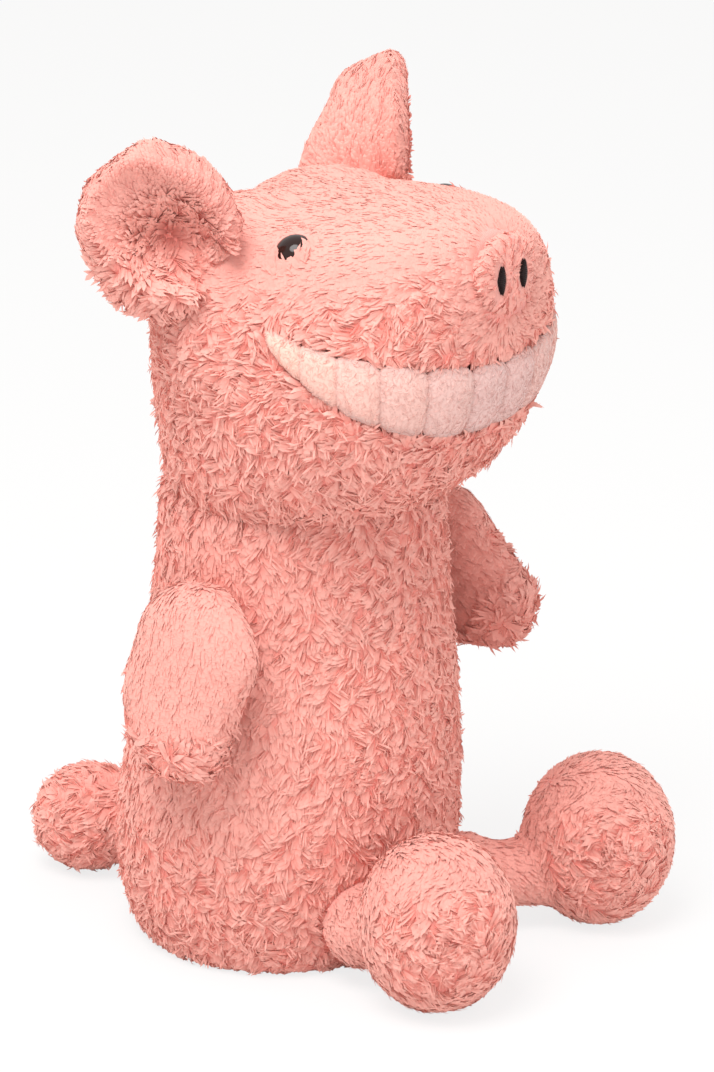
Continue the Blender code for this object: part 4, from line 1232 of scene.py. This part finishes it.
class PIG_OT_head(bpy.types.Operator):
    """Sew and stuff the head, with the fold that holds the teeth"""

    bl_idname = "pig.head"
    bl_label = "Head"

    def execute(self, context):
        sizes, face = context.scene.pig_sizes, context.scene.pig_face
        skin = self.sewn(sizes)
        points = self.mounded(skin, sizes, face)
        set_coords(skin, points)
        PILE["head_tree"] = tree_of(skin)
        set_coords(skin, self.folded(points, sizes, face))
        finish_skin(skin, "head", ["head_cover"])
        eyes = [np.array(point) for point, _ in eye_places(context)]
        describe_pile(skin, lambda p, n: self.rule(p, n, sizes, face, eyes))
        return {"FINISHED"}

    def sewn(self, sizes):
        rings = []
        inset = sizes.swell / 5
        for height, front, back, half, squareness, tilt in smooth_rows(HEAD_PROFILE_SHARES, 70):
            to_front = sizes.head_front * front - inset
            to_back = sizes.head_back * back - inset
            middle = (to_back - to_front) / 2
            centre = (0, middle, sizes.head_low + sizes.head_height * height)
            wide, deep = (sizes.head_half * half - inset, 0, 0), (0, (to_back + to_front) / 2, 0)
            points = ring(centre, wide, deep, 120, squareness)
            points[:, 2] += (middle - points[:, 1]) * tilt
            rings.append(points)
        skin = closed_rings("head_skin", rings, 12)

        def raised(x, y, z):
            return np.maximum(z, dome_height(sizes, x, y) + DOME_GAP)

        set_heights(skin, raised)

        def held(p):
            return p[2] < dome_height(sizes, p[0], p[1]) + 0.003

        stuffed(skin, sizes.voxel * 0.8, sizes.swell, held)
        set_heights(skin, raised)
        return skin

    def mounded(self, skin, sizes, face):
        """The skin's points, swollen behind and below each ear."""
        points, normals = coords(skin), normals_of(skin)
        reach = sizes.ear_mound_reach
        for side in SIDES:
            back = np.array((-SIGN[side] * math.sin(EAR_TURN), math.cos(EAR_TURN), 0.15))
            near = np.zeros(len(points))
            for shift in (back, (0, 0, -0.9)):
                centre = np.array(ROOT[f"ear_{side}"]) + np.array(shift) * sizes.ear_mound_set
                near = np.maximum(near, 1 - eased(distance(points, centre), reach * 0.25, reach))
            near = near * eased(points[:, 1] + face.eye_forward, 0.010, 0.024)
            points = points + normals * (sizes.ear_mound * near)[:, None]
        return points

    def folded(self, points, sizes, face):
        """The points, pressed in where the mouth's fold holds the teeth."""
        turn, top, low = round_muzzle(face, points)
        level, margin = points[:, 2], face.mouth_margin
        inside = np.minimum(top + margin - level, level - low + margin)
        inside = np.minimum(inside, (MOUTH_END - np.abs(turn)) * sizes.head_half + margin)
        depth = face.mouth_depth * 0.8 * eased(inside, -0.0002, 0.0022)
        return points - out_of(turn) * depth[:, None]

    def rule(self, p, n, sizes, face, eyes):
        x, y, z = p.T
        snout = np.array([0, -sizes.head_front, face.snout_height])
        turn, top, low = round_muzzle(face, p)
        ahead = np.abs(turn) < MOUTH_END + 0.03
        under_mouth = np.where(ahead, low - z, 1)
        over_mouth = np.where(ahead, z - top, 1)
        in_mouth = ahead & (under_mouth < -0.0003) & (over_mouth < -0.0003)
        lip = ahead * (1 - eased(under_mouth, 0.001, 0.0055)) * (z < (top + low) / 2)
        brow = ahead * (1 - eased(over_mouth, 0.001, 0.006)) * (z > (top + low) / 2)
        low_share = 1 - eased(z, 0.165, 0.205)
        flow = blend(unit(unit(p - snout) * (1, 1, 0.4)), DOWN, low_share)
        flow = blend(flow, UP + out_of(turn) * 0.3, lip)
        flow = blend(flow, DOWN + out_of(turn) * 0.3, brow)
        near_snout = 1 - eased(np.linalg.norm((p - snout) * (1, 1, 1.15), axis=1), 0.02, 0.034)
        smooth = eased(n[:, 2], 0.15, 0.6) * eased(z, 0.205, 0.222)
        smooth = np.maximum(smooth, near_snout * 0.8)
        seam = np.hypot(x, y + sizes.neck_forward)
        hidden = (seam < 0.0415) & (z < 0.156) & (n[:, 2] < -0.6)
        cover = np.where(in_mouth | hidden, 0.0, 1.0)
        reach = 1 - 0.2 * smooth + 0.12 * low_share
        lean = 0.06 * smooth
        eye_side = np.zeros(len(p))
        for eye in eyes:
            gap = distance(p, eye)
            below = eased(eye[2] - z - 0.7 * (y - eye[1]), -0.002, 0.0005)
            close = 1 - eased(gap, 0.008, 0.011)
            flow = blend(flow, UP * 0.7 + unit(eye - p) * (1.5 * below - 0.8)[:, None], close)
            reach = reach * (1 - close) + (0.4 + 0.62 * below) * close
            lean = lean - 0.3 * close * below
            eye_side = np.maximum(eye_side, close * below)
            cover = np.where(gap < 0.0066 - 0.0022 * below, 0.0, cover)
        disc = np.hypot(x / face.snout_half, (z - face.snout_height) / face.snout_tall)
        cover = np.where((disc < 1.02) & (y < -0.06), 0.0, cover)
        # crease: painted shade in the crease below the snout's disc.
        crease = eased(disc, 1.0, 1.06) * (1 - eased(disc, 1.12, 1.3)) * (y < -0.05)
        crease = crease * eased(face.snout_height - z, 0.004, 0.010)
        open_skin = smooth * (1 - crease)
        return {
            "flow": flow,
            "cover": cover,
            # Painted shade in the crease and on smooth pile turned sideways; painted highlight on
            # smooth pile, more where it faces up.
            "deep": 0.55 * crease + 0.14 * open_skin * (1 - eased(n[:, 2], 0.6, 0.95)),
            "pale": 0.9 * open_skin * (0.45 + 0.55 * eased(n[:, 2], 0.5, 0.95)),
            "lean": lean,
            "loose": np.maximum(1 - 0.9 * smooth, 0.55 * eye_side),
            "reach": reach * (1 + 0.25 * np.maximum(lip, brow)),
            "broad": 1 + 0.1 * smooth + 0.5 * eye_side,
        }


class PIG_OT_seat(bpy.types.Operator):
    """Close the trunk with the flat seat panel and stitch it round"""

    bl_idname = "pig.seat"
    bl_label = "Seat panel"

    def execute(self, context):
        sizes = context.scene.pig_sizes
        rings = []
        for height, wide in ((0.0, 0.965), (0.2, 0.99), (0.5, 1.0), (0.8, 0.99), (1.0, 0.965)):
            reach = sizes.seat_radius * wide
            level = FLOOR_GAP + (sizes.seat_thickness - 2 * FLOOR_GAP) * height
            rings.append(ring((0, 0, level), (reach, 0, 0), (0, reach, 0), 96))
        panel = closed_rings("seat_skin", rings, 16)
        finish_skin(panel, "torso", ["seat_panel"])
        values = {
            "Radius": sizes.seat_radius - 0.0025,
            "Height": 0.0003,
            "Step": 0.0042,
            "Stitch Length": 0.0028,
            "Thread Radius": 0.0003,
            "Material": MATERIALS["seam"],
        }
        seam = run_tree(stitch_tree(), panel, "seat_stitches", values)
        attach(seam, "torso")
        return {"FINISHED"}


class PIG_OT_arms(bpy.types.Operator):
    """Sew and stuff both arms"""

    bl_idname = "pig.arms"
    bl_label = "Arms"

    def execute(self, context):
        for side in SIDES:
            self.arm(context.scene.pig_sizes, side)
        return {"FINISHED"}

    def arm(self, sizes, side):
        sign, slope, swing = SIGN[side], math.radians(8.0), math.radians(ARM_FORWARD_DEG[side])
        axis = Vector((sign * math.cos(slope), 0, math.sin(slope)))
        rise, rear = Vector((-sign * math.sin(slope), 0, math.cos(slope))), Vector((0, 1, 0))
        up = rise * math.cos(swing) + rear * math.sin(swing)
        back = rear * math.cos(swing) - rise * math.sin(swing)
        pivot = ROOT[f"arm_{side}"]
        rings = []
        for place, width, thick, shift in smooth_rows(ARM_PROFILE_SHARES, 40):
            centre = (
                pivot
                + axis * (sizes.arm_thickness / 2 + sizes.arm_gap)
                + up * (sizes.arm_top - sizes.arm_length * place)
                - back * (sizes.arm_width * shift)
            )
            thin = axis * (sizes.arm_thickness * thick / 2)
            rings.append(ring(centre, thin, back * (sizes.arm_width * width / 2), 56, 2.3))
        skin = joined(closed_rings(f"arm_{side}_skin", rings), [ball(pivot, sizes.arm_ball)])
        start, across, down = np.array(pivot), np.array(axis), -np.array(up)

        def held(p):
            return (p - start) @ across < 0.001

        stuffed(skin, sizes.voxel * 0.8, sizes.swell * 0.6, held)
        finish_skin(skin, f"arm_{side}", [f"arm_{side}_cover"])
        fall = sizes.arm_top - sizes.arm_length * 0.86
        tip = np.array(pivot + axis * 0.010 + up * fall - back * 0.001)

        def rule(p, n):
            far = (p - start) @ down
            hand = eased(far, sizes.arm_length * 0.45, sizes.arm_length * 0.68)
            edge = (1 - np.abs(n @ across)) * eased(far, 0.004, 0.022)
            slit = 1 - eased(distance(p, tip), 0.002, 0.0065)
            return {
                "flow": blend(down, unit(p - tip), hand),
                # Painted shade in the slit at the tip and, a little, on the upper arm; painted
                # highlight on the upper arm and the hand.
                "deep": 0.6 * slit + 0.09 * (1 - hand),
                "pale": 0.45 * (1 - hand) * (1 - 0.6 * edge) + 0.45 * hand * (1 - slit),
                "loose": 0.15 + 0.85 * np.maximum(hand, edge**2),
                "reach": 0.72 + 0.63 * hand + 0.4 * edge * (1 - hand),
                "broad": 0.9 + 0.45 * hand,
                "lean": 0.06 * (1 - hand),
            }

        describe_pile(skin, rule)


class PIG_OT_legs(bpy.types.Operator):
    """Sew and stuff both legs with their ball feet"""

    bl_idname = "pig.legs"
    bl_label = "Legs"

    def execute(self, context):
        for side in SIDES:
            self.leg(context.scene.pig_sizes, side)
        return {"FINISHED"}

    def leg(self, sizes, side):
        turn = math.radians(LEG_OUT_DEG[side]) * SIGN[side]
        forward = Vector((math.sin(turn), -math.cos(turn), 0))
        across = Vector((math.cos(turn), math.sin(turn), 0))
        pivot = ROOT[f"leg_{side}"]
        centre = pivot + forward * LEG_REACH[side]
        centre.z = sizes.foot_tall - sizes.flat_depth
        rings = []
        for k in range(FOOT_RINGS):
            part = math.pi * (k + 0.5) / FOOT_RINGS
            reach = (sizes.foot_radius - sizes.swell / 6) * math.sin(part)
            middle = centre - Vector((0, 0, sizes.foot_tall * math.cos(part)))
            rings.append(ring(middle, across * reach, forward * reach, 56))
        ankle = Vector((centre.x, centre.y, sizes.ankle_height))
        skin = closed_rings(f"leg_{side}_skin", rings, 3)
        joined(skin, [rod(pivot, ankle, sizes.leg_radius), ball(pivot, sizes.leg_ball)])
        start, heart, ahead = np.array(pivot), np.array(centre), np.array(forward)
        way = np.array(SOLE_WAY)

        def held(p):
            return p[2] < 0.0015 or (p - start) @ ahead < 0.004

        stuffed(skin, sizes.voxel * 0.85, sizes.swell * 0.6, held)
        set_heights(skin, lambda x, y, z: np.maximum(z, FLOOR_GAP))
        finish_skin(skin, f"leg_{side}", [f"leg_{side}_cover"])

        def rule(p, n):
            out = unit(p - heart)
            facing = out @ way
            pole = heart + way * sizes.foot_radius
            sole_flow = unit(pole - p) * 0.35 + np.cross(way, out) * 0.9
            curl = eased(facing, 0.35, 0.75) * (1 - eased(n[:, 2], 0.35, 0.7))
            slit = 1 - eased(distance(p, pole), 0.003, 0.008)
            return {
                "flow": blend((ahead + DOWN) * 0.8, sole_flow, eased(facing, 0.25, 0.8)),
                "cover": np.where((n[:, 2] < -0.9) & (p[:, 2] < 0.003), 0.0, 1.0),
                # Painted highlight on the foot's upper side; painted shade in the slit of the sole
                # and a little over the whole foot.
                "pale": (0.25 + 0.35 * eased(n[:, 2], 0.0, 0.6)) * (1 - 0.8 * curl),
                "deep": 0.55 * slit + 0.07 * (1 - slit),
                "reach": 0.85 + 0.2 * curl,
                "loose": 0.25 + 0.75 * curl,
            }

        describe_pile(skin, rule)


class PIG_OT_tail(bpy.types.Operator):
    """Sew and stuff the tail"""

    bl_idname = "pig.tail"
    bl_label = "Tail"

    def execute(self, context):
        sizes = context.scene.pig_sizes
        drop, yaw = math.radians(14.0), math.radians(9.0)
        flat = Vector((-math.sin(yaw), math.cos(yaw), 0))
        side = Vector((math.cos(yaw), math.sin(yaw), 0))
        down = Vector((0, 0, -1))
        along = flat * math.cos(drop) + down * math.sin(drop)
        up = flat * math.sin(drop) - down * math.cos(drop)
        pivot = ROOT["tail"]
        rings = []
        for place, radius in smooth_rows(TAIL_PROFILE_SHARES, 28):
            reach, centre = sizes.tail_radius * radius, pivot + along * (sizes.tail_length * place)
            rings.append(ring(centre, side * reach, up * reach, 48))
        skin = joined(closed_rings("tail_skin", rings), [ball(pivot, sizes.tail_ball)])
        start, way = np.array(pivot), np.array(along)

        def held(p):
            return (p - start) @ way < 0.004

        stuffed(skin, sizes.voxel * 0.8, sizes.swell * 0.5, held)
        finish_skin(skin, "tail", ["tail_cover"])

        def rule(p, n):
            # Painted highlight on the tail's upper side.
            return {"flow": way, "reach": 1.05, "pale": 0.3 * eased(n[:, 2], 0.3, 0.8)}

        describe_pile(skin, rule)
        return {"FINISHED"}


class PIG_OT_ears(bpy.types.Operator):
    """Sew both cupped ears, outer layer and lining in one skin"""

    bl_idname = "pig.ears"
    bl_label = "Ears"

    def execute(self, context):
        for side in SIDES:
            self.ear(context.scene.pig_sizes, side)
        return {"FINISHED"}

    def sheet(self, sizes, sign, layer, frame_of):
        """Points of the ear's back (layer 1) or lining (layer -1), row by row."""
        points = []
        for place, half, cup in smooth_rows(EAR_PROFILE_SHARES, EAR_STEPS + 1):
            for i in range(EAR_STEPS + 1):
                u = math.sin(math.pi / 2 * (2 * i / EAR_STEPS - 1))
                deep = layer * sizes.ear_layer
                if layer < 0:
                    dimple = math.exp(-((place - EAR_HOLLOW) * 4.2) ** 2 - (u * 2.4) ** 2)
                    deep *= 1 + (3.4 * cup - 1.5 * dimple) * (1 - u * u)
                behind = sizes.ear_cup * cup * (1 - u * u) - sizes.ear_set
                behind += deep * math.sqrt(1 - 0.6 * u * u)
                wide = (sizes.ear_half * half + deep * abs(u) ** 3) * u
                taper = 0.22 * (1 - eased(place, 0.0, 0.3)) - 0.28 * eased(place, 0.3, 0.9)
                wide *= 1 + taper * max(0.0, -sign * u)
                points.append(frame_of(wide, behind, sizes.ear_rise + sizes.ear_height * place))
        return points

    def sewn(self, name, sheets):
        """Two sheets of points, joined round their border."""
        n, w = EAR_STEPS, EAR_STEPS + 1
        border = [(0, i) for i in range(n)] + [(j, n) for j in range(n)]
        border += [(n, n - i) for i in range(n)] + [(n - j, 0) for j in range(n)]
        faces, shift = [], w * w
        for j in range(n):
            for i in range(n):
                quad = (j * w + i, j * w + i + 1, (j + 1) * w + i + 1, (j + 1) * w + i)
                faces += [quad, tuple(k + shift for k in reversed(quad))]
        for (j0, i0), (j1, i1) in zip(border, border[1:] + border[:1]):
            a, b = j0 * w + i0, j1 * w + i1
            faces.append((a, b, b + shift, a + shift))
        return add_mesh(name, sheets[0] + sheets[1], faces)

    def ear(self, sizes, side):
        sign = SIGN[side]
        turn, lean = EAR_TURN * sign, math.radians(EAR_LEAN_DEG[side])
        facing = Vector((math.sin(turn), -math.cos(turn), 0))
        outwards = Vector((math.cos(turn), math.sin(turn), 0)) * sign
        up = Vector((0, 0, 1)) * math.cos(lean) + outwards * math.sin(lean)
        across = facing.cross(up)
        pivot = ROOT[f"ear_{side}"]

        def frame_of(wide, behind, rise):
            return pivot + across * wide - facing * behind + up * rise

        sheets = [self.sheet(sizes, sign, layer, frame_of) for layer in (-1, 1)]
        skin = self.sewn(f"ear_{side}_skin", sheets)
        stalk_top = pivot + up * (sizes.ear_rise + sizes.ear_layer)
        joined(skin, [rod(pivot, stalk_top, 0.0045), ball(pivot, sizes.ear_ball)])
        remeshed(skin, 0.0022, 10)
        subdivided(skin)
        finish_skin(skin, f"ear_{side}", [f"ear_{side}_back", f"ear_{side}_lining"])
        front, start = np.array(facing), np.array(pivot)
        height = sizes.ear_rise + sizes.ear_height * EAR_HOLLOW
        hollow = np.array(pivot + up * height - facing * (sizes.ear_cup * 0.6 - sizes.ear_set))

        def rule(p, n):
            inside = eased(n @ front, 0.0, 0.45)
            lined = inside > 0.5
            far = distance(p, hollow)
            rim = eased(far, 0.015, 0.023) * eased(p[:, 2], start[2] + 0.002, start[2] + 0.016)
            # deep: the share of painted shade in the ear's hollow.
            deep = inside * (1 - eased(far, 0.002, 0.0095))
            return {
                "flow": blend(unit(p - start), unit(p - hollow), inside),
                "cover": eased((p - start) @ np.array(up), 0.001, 0.005),
                # Painted highlight on the rim and the back; painted shade in the hollow and a
                # little on the back.
                "pale": np.where(lined, 0.65 * rim, 0.25 + 0.2 * rim),
                "deep": 0.8 * deep + 0.12 * (1 - inside),
                "lean": 0.05 * rim - 0.2 * inside * (1 - rim),
                "reach": np.where(lined, 1.15 - 0.5 * rim, 0.62),
                "loose": np.where(lined, 0.9 - 0.7 * rim, 0.25),
                "broad": np.where(lined, 1 - 0.25 * rim, 0.75),
            }

        describe_pile(skin, rule)


class PIG_OT_teeth(bpy.types.Operator):
    """Sew and stuff twelve padded teeth on their lining"""

    bl_idname = "pig.teeth"
    bl_label = "Teeth"

    def execute(self, context):
        face = context.scene.pig_face
        for side in SIDES:
            for k, edges in enumerate(zip(TOOTH_EDGES_DEG, TOOTH_EDGES_DEG[1:])):
                turns = sorted(SIGN[side] * math.radians(edge) for edge in edges)
                node = f"tooth_{side}_{k + 1}"
                self.tooth(context.scene.pig_sizes, face, node, k / 5, *turns)
        self.lining(face)
        return {"FINISHED"}

    def tooth(self, sizes, face, node, corner, start, end):
        middle, half = (start + end) / 2, (end - start) / 2 + face.tooth_press / sizes.head_half
        depth = (face.tooth_back + face.tooth_proud) / 2
        rings = []
        for k in range(TOOTH_RINGS):
            place = math.cos(math.pi * (k + 0.5) / TOOTH_RINGS)
            full = (1 - abs(place) ** 3.0) ** (1 / 2.1)
            points = []
            for u, v, _ in ring((0, 0, 0), (1, 0, 0), (0, 1, 0), 28, 2.15):
                turn = middle + half * (0.5 + 0.5 * full) * u
                high, low = mouth_edges(face, turn)
                level = (high + low) / 2 - (high - low) / 2 * place
                deep = face.tooth_back - depth * (1 + full * v)
                points.append(muzzle_point(face, turn, level, deep))
            rings.append(np.array(points))
        pad = closed_rings(f"{node}_pad", rings, 3)
        stuffed(pad, 0.0011, 0.0008, lambda p: p[1] > 0.2, 3.0)
        finish_skin(pad, "head", [node], "velour")
        points = coords(pad)
        turn, high, low = round_muzzle(face, points)
        side = np.abs(turn - middle) / half
        tall = np.abs(2 * (points[:, 2] - low) / (high - low) - 1)
        # rim: the share of painted shade at a tooth's sides, top and bottom, in the valleys and
        # under the lips.
        write(pad, "rim", eased(np.maximum(side, tall), 0.6, 1.0))
        write(pad, "corner", corner)

        def rule(p, n):
            front = eased(n @ out_of(np.array([middle]))[0], -0.1, 0.2)
            return {"flow": DOWN, "cover": front, "pale": corner}

        describe_pile(pad, rule)
        PILE.setdefault("pads", []).append(pad)

    def lining(self, face):
        rings = []
        front, rear = face.mouth_depth - 0.0019, face.mouth_depth - 0.0008
        shares = [(i / 4, front) for i in range(5)] + [(1 - i / 4, rear) for i in range(5)]
        for k in range(61):
            turn = MOUTH_END * (k / 30 - 1) * 0.985
            high, low = mouth_edges(face, turn)
            points = [muzzle_point(face, turn, low + (high - low) * s, deep) for s, deep in shares]
            rings.append(np.array(points))
        cloth = closed_rings("mouth_cloth", rings, 2)
        finish_hard(cloth, "mouth_lining", "lining")


class PIG_OT_eyes(bpy.types.Operator):
    """Turn the two plastic eyes with their shanks"""

    bl_idname = "pig.eyes"
    bl_label = "Eyes"

    def execute(self, context):
        face = context.scene.pig_face
        thin, seat = face.eye_shank_radius, face.eye_seat
        rows = [
            (-face.eye_shank, 0.92 * thin),
            (-face.eye_shank + 0.0004, thin),
            (-seat - 0.0004, thin),
            (-seat, face.eye_radius * 0.9),
            (-seat * 0.7, face.eye_radius * 0.985),
        ]
        for k in range(15):
            part = math.pi / 2 * (0.04 + 0.94 * k / 14)
            rows.append((face.eye_dome * math.sin(part), face.eye_radius * math.cos(part)))
        for side, (point, normal) in zip(SIDES, eye_places(context)):
            across = normal.orthogonal().normalized()
            along = normal.cross(across)
            rings = [ring(point + normal * z, across * r, along * r, 40) for z, r in rows]
            eye = closed_rings(f"eye_{side}_dome", rings, 2)
            finish_hard(eye, f"eye_{side}", "eye")
        return {"FINISHED"}


class PIG_OT_snout(bpy.types.Operator):
    """Pad the snout's disc and sew the nostrils on it"""

    bl_idname = "pig.snout"
    bl_label = "Snout"

    def execute(self, context):
        face = context.scene.pig_face
        front = muzzle_point(face, 0.0, face.snout_height, 0.0)
        rings = []
        for place, wide in SNOUT_PROFILE_SHARES:
            forward = face.snout_proud - face.snout_thick * (1 - place)
            across, tall = (face.snout_half * wide, 0, 0), (0, 0, face.snout_tall * wide)
            rings.append(ring(front - Vector((0, forward, 0)), across, tall, 64))
        disc = closed_rings("snout_skin", rings, 3)
        stuffed(disc, 0.0014, 0.0008, lambda p: p[1] > front.y + 0.001, 3.0)
        finish_skin(disc, "head", ["snout_disc"])
        surface, tree, middle = tree_of(disc), satin_tree(), np.array(front)
        slits = [self.nostril(face, side, surface, tree, front) for side in SIDES]

        def rule(p, n):
            away = unit(p - middle)
            away[:, 2] -= 0.25
            cover = eased(-n[:, 1], -0.6, -0.2)
            for slit in slits:
                wide = (p[:, 0] - slit[0]) / (face.nostril_wide * 0.62)
                tall = (p[:, 2] - slit[2]) / (face.nostril_tall * 0.6)
                cover = np.where(np.hypot(wide, tall) < 1.0, 0.0, cover)
            # Painted highlight on the disc's short pile.
            short = {"reach": 0.5, "broad": 0.8, "loose": 0.5, "pale": 0.7}
            return {"flow": away, "cover": cover, **short}

        describe_pile(disc, rule)
        return {"FINISHED"}

    def nostril(self, face, side, surface, tree, front):
        """Sews one nostril on the disc and gives its place."""
        high = Vector((SIGN[side] * face.nostril_out, front.y - 0.05, face.snout_height))
        point, _, _, _ = surface.ray_cast(high, Vector((0, 1, 0)))
        rings = []
        for place, wide in NOSTRIL_PROFILE_SHARES:
            middle = point - Vector((0, face.nostril_proud * (place - 0.35), 0))
            across = (face.nostril_wide / 2 * wide, 0, 0)
            rings.append(ring(middle, across, (0, 0, face.nostril_tall / 2 * wide), 40, 1.35))
        slit = closed_rings(f"nostril_{side}_bed", rings, 2)
        finish_hard(slit, f"nostril_{side}", "thread")
        values = {
            "Middle": point - Vector((0, face.nostril_proud * 0.42, 0)),
            "Height": face.nostril_tall,
            "Width": face.nostril_wide,
            "Count": 26,
            "Material": MATERIALS["thread"],
        }
        stitches = run_tree(tree, slit, f"nostril_{side}_stitches", values)
        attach(stitches, "head")
        return point


class PIG_OT_insides(bpy.types.Operator):
    """Give the stuffing, the pellet bag and the washers their finish"""

    bl_idname = "pig.insides"
    bl_label = "Insides"

    def execute(self, context):
        finishes = (("filling", "fibre"), ("pellet_bag", "pellet_cloth"), ("washer", "washer"))
        for name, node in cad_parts.items():
            for part, finish in finishes:
                if part in name:
                    for slot in node.material_slots:
                        slot.material = MATERIALS[finish]
        return {"FINISHED"}


def lit_tree(owner, seen_colour, lit, factor):
    """Shows a plain colour to the camera, to mirrors and through glass, and lit to the rest."""
    owner.use_nodes = True
    nodes = Nodes(owner.node_tree)
    owner.node_tree.nodes.clear()
    rays = nodes.outs("ShaderNodeLightPath")
    straight = nodes.math("MAXIMUM", rays["Is Camera Ray"], rays["Is Glossy Ray"])
    straight = nodes.math("MAXIMUM", straight, rays["Is Transmission Ray"])
    shown = nodes.out(seen_colour, {"Color": (1, 1, 1, 1), "Strength": 1.0})
    inputs = {0: straight * factor, 1: nodes.out(*lit), 2: shown}
    return nodes, nodes.out("ShaderNodeMixShader", inputs)


class PIG_OT_stage(bpy.types.Operator):
    """Set the camera, the lamps, the sky and the floor"""

    bl_idname = "pig.stage"
    bl_label = "Stage"

    def execute(self, context):
        scene, stage = context.scene, context.scene.pig_stage
        az, el = stage.azimuth, stage.elevation
        back = Vector((math.sin(az) * math.cos(el), -math.cos(az) * math.cos(el), math.sin(el)))
        right = Vector((math.cos(az), math.sin(az), 0))
        data = bpy.data.cameras.new("camera")
        data.sensor_fit = "VERTICAL"
        data.sensor_height = stage.sensor
        data.lens = stage.lens
        scene.camera = linked("camera", data)
        turn = Matrix((right, back.cross(right), back)).transposed().to_4x4()
        scene.camera.matrix_world = Matrix.Translation(stage.camera_place) @ turn
        scene.view_settings.view_transform = "Standard"

        middle = Vector((0, 0, 0.14))
        key_place = middle - right * 0.3 + back * 0.6 + Vector((0, 0, 1.05))
        fill_place = middle + right * 0.7 + back * 1.1 + Vector((0, 0, 0.35))
        for name, power, size, place in (
            ("key", stage.key_power, 0.9, key_place),
            ("fill", stage.fill_power, 1.2, fill_place),
        ):
            lamp = bpy.data.lights.new(name, "AREA")
            lamp.energy = power
            lamp.shape = "DISK"
            lamp.size = size
            holder = linked(name, lamp)
            holder.location = place
            holder.rotation_euler = (place - middle).to_track_quat("Z", "Y").to_euler()

        scene.world = bpy.data.worlds.new("studio")
        sky = "ShaderNodeBackground", {"Color": (1, 0.985, 0.97, 1), "Strength": stage.sky}
        nodes, both = lit_tree(scene.world, "ShaderNodeBackground", sky, 1.0)
        nodes.node("ShaderNodeOutputWorld", {"Surface": both})

        corners = [(-1, -1), (1, -1), (1, 1), (-1, 1)]
        points = [(FLOOR_HALF * x, FLOOR_HALF * y, 0) for x, y in corners]
        floor = add_mesh("floor", points, [(0, 1, 2, 3)])
        finish = bpy.data.materials.new("floor")
        matt = "ShaderNodeBsdfDiffuse", {"Color": (0.78, 0.77, 0.76, 1)}
        nodes, both = lit_tree(finish, "ShaderNodeEmission", matt, 1 - stage.floor_shade)
        nodes.node("ShaderNodeOutputMaterial", {"Surface": both})
        floor.data.materials.append(finish)
        return {"FINISHED"}


class PIG_OT_grow(bpy.types.Operator):
    """Grow the pile on every skin"""

    bl_idname = "pig.grow"
    bl_label = "Pile"

    def execute(self, context):
        limbs = [SKINS[name] for name in SKINS if name.startswith(("arm", "leg", "tail"))]
        trunk, head = SKINS["trunk_skin"], SKINS["head_skin"]
        grow_pile(trunk, "torso", (0.03, 0.06, 0.09, 0.12), limbs, 0.126)
        grow_pile(head, "head", (0.17, 0.195, 0.22, 0.238))
        grow_pile(SKINS["snout_skin"], "head")
        grow_nap(PILE["pads"], "teeth_nap", "head")
        for side in SIDES:
            for limb, neighbour in (("arm", trunk), ("leg", trunk), ("ear", head)):
                body = f"{limb}_{side}"
                grow_pile(SKINS[f"{body}_skin"], body, (), [neighbour])
        grow_pile(SKINS["tail_skin"], "tail", (), [trunk])
        return {"FINISHED"}


OPERATORS = (
    PIG_OT_materials,
    PIG_OT_trunk,
    PIG_OT_seat,
    PIG_OT_head,
    PIG_OT_teeth,
    PIG_OT_eyes,
    PIG_OT_snout,
    PIG_OT_arms,
    PIG_OT_legs,
    PIG_OT_tail,
    PIG_OT_ears,
    PIG_OT_insides,
    PIG_OT_grow,
    PIG_OT_stage,
)


class PIG_PT_panel(bpy.types.Panel):
    """The pig's pieces, in the order they are made"""

    bl_idname = "PIG_PT_panel"
    bl_label = "Plush Pig"
    bl_space_type = "VIEW_3D"
    bl_region_type = "UI"
    bl_category = "Plush Pig"

    def draw(self, context):
        for kind in OPERATORS:
            self.layout.operator(kind.bl_idname)
        for group in (context.scene.pig_sizes, context.scene.pig_pile):
            box = self.layout.box()
            for key in group.__annotations__:
                box.prop(group, key)


GROUPS = {
    "pig_sizes": PigBodySizes,
    "pig_face": PigFaceSizes,
    "pig_pile": PigPile,
    "pig_colours": PigColours,
    "pig_stage": PigStage,
}


def register():
    for name, group in GROUPS.items():
        bpy.utils.register_class(group)
        setattr(bpy.types.Scene, name, PointerProperty(type=group))
    for kind in OPERATORS:
        bpy.utils.register_class(kind)
    bpy.utils.register_class(PIG_PT_panel)


def unregister():
    bpy.utils.unregister_class(PIG_PT_panel)
    for kind in reversed(OPERATORS):
        bpy.utils.unregister_class(kind)
    for name, group in GROUPS.items():
        delattr(bpy.types.Scene, name)
        bpy.utils.unregister_class(group)


def main():
    register()
    for kind in OPERATORS:
        section, action = kind.bl_idname.split(".")
        getattr(getattr(bpy.ops, section), action)()


if __name__ == "__main__":
    main()
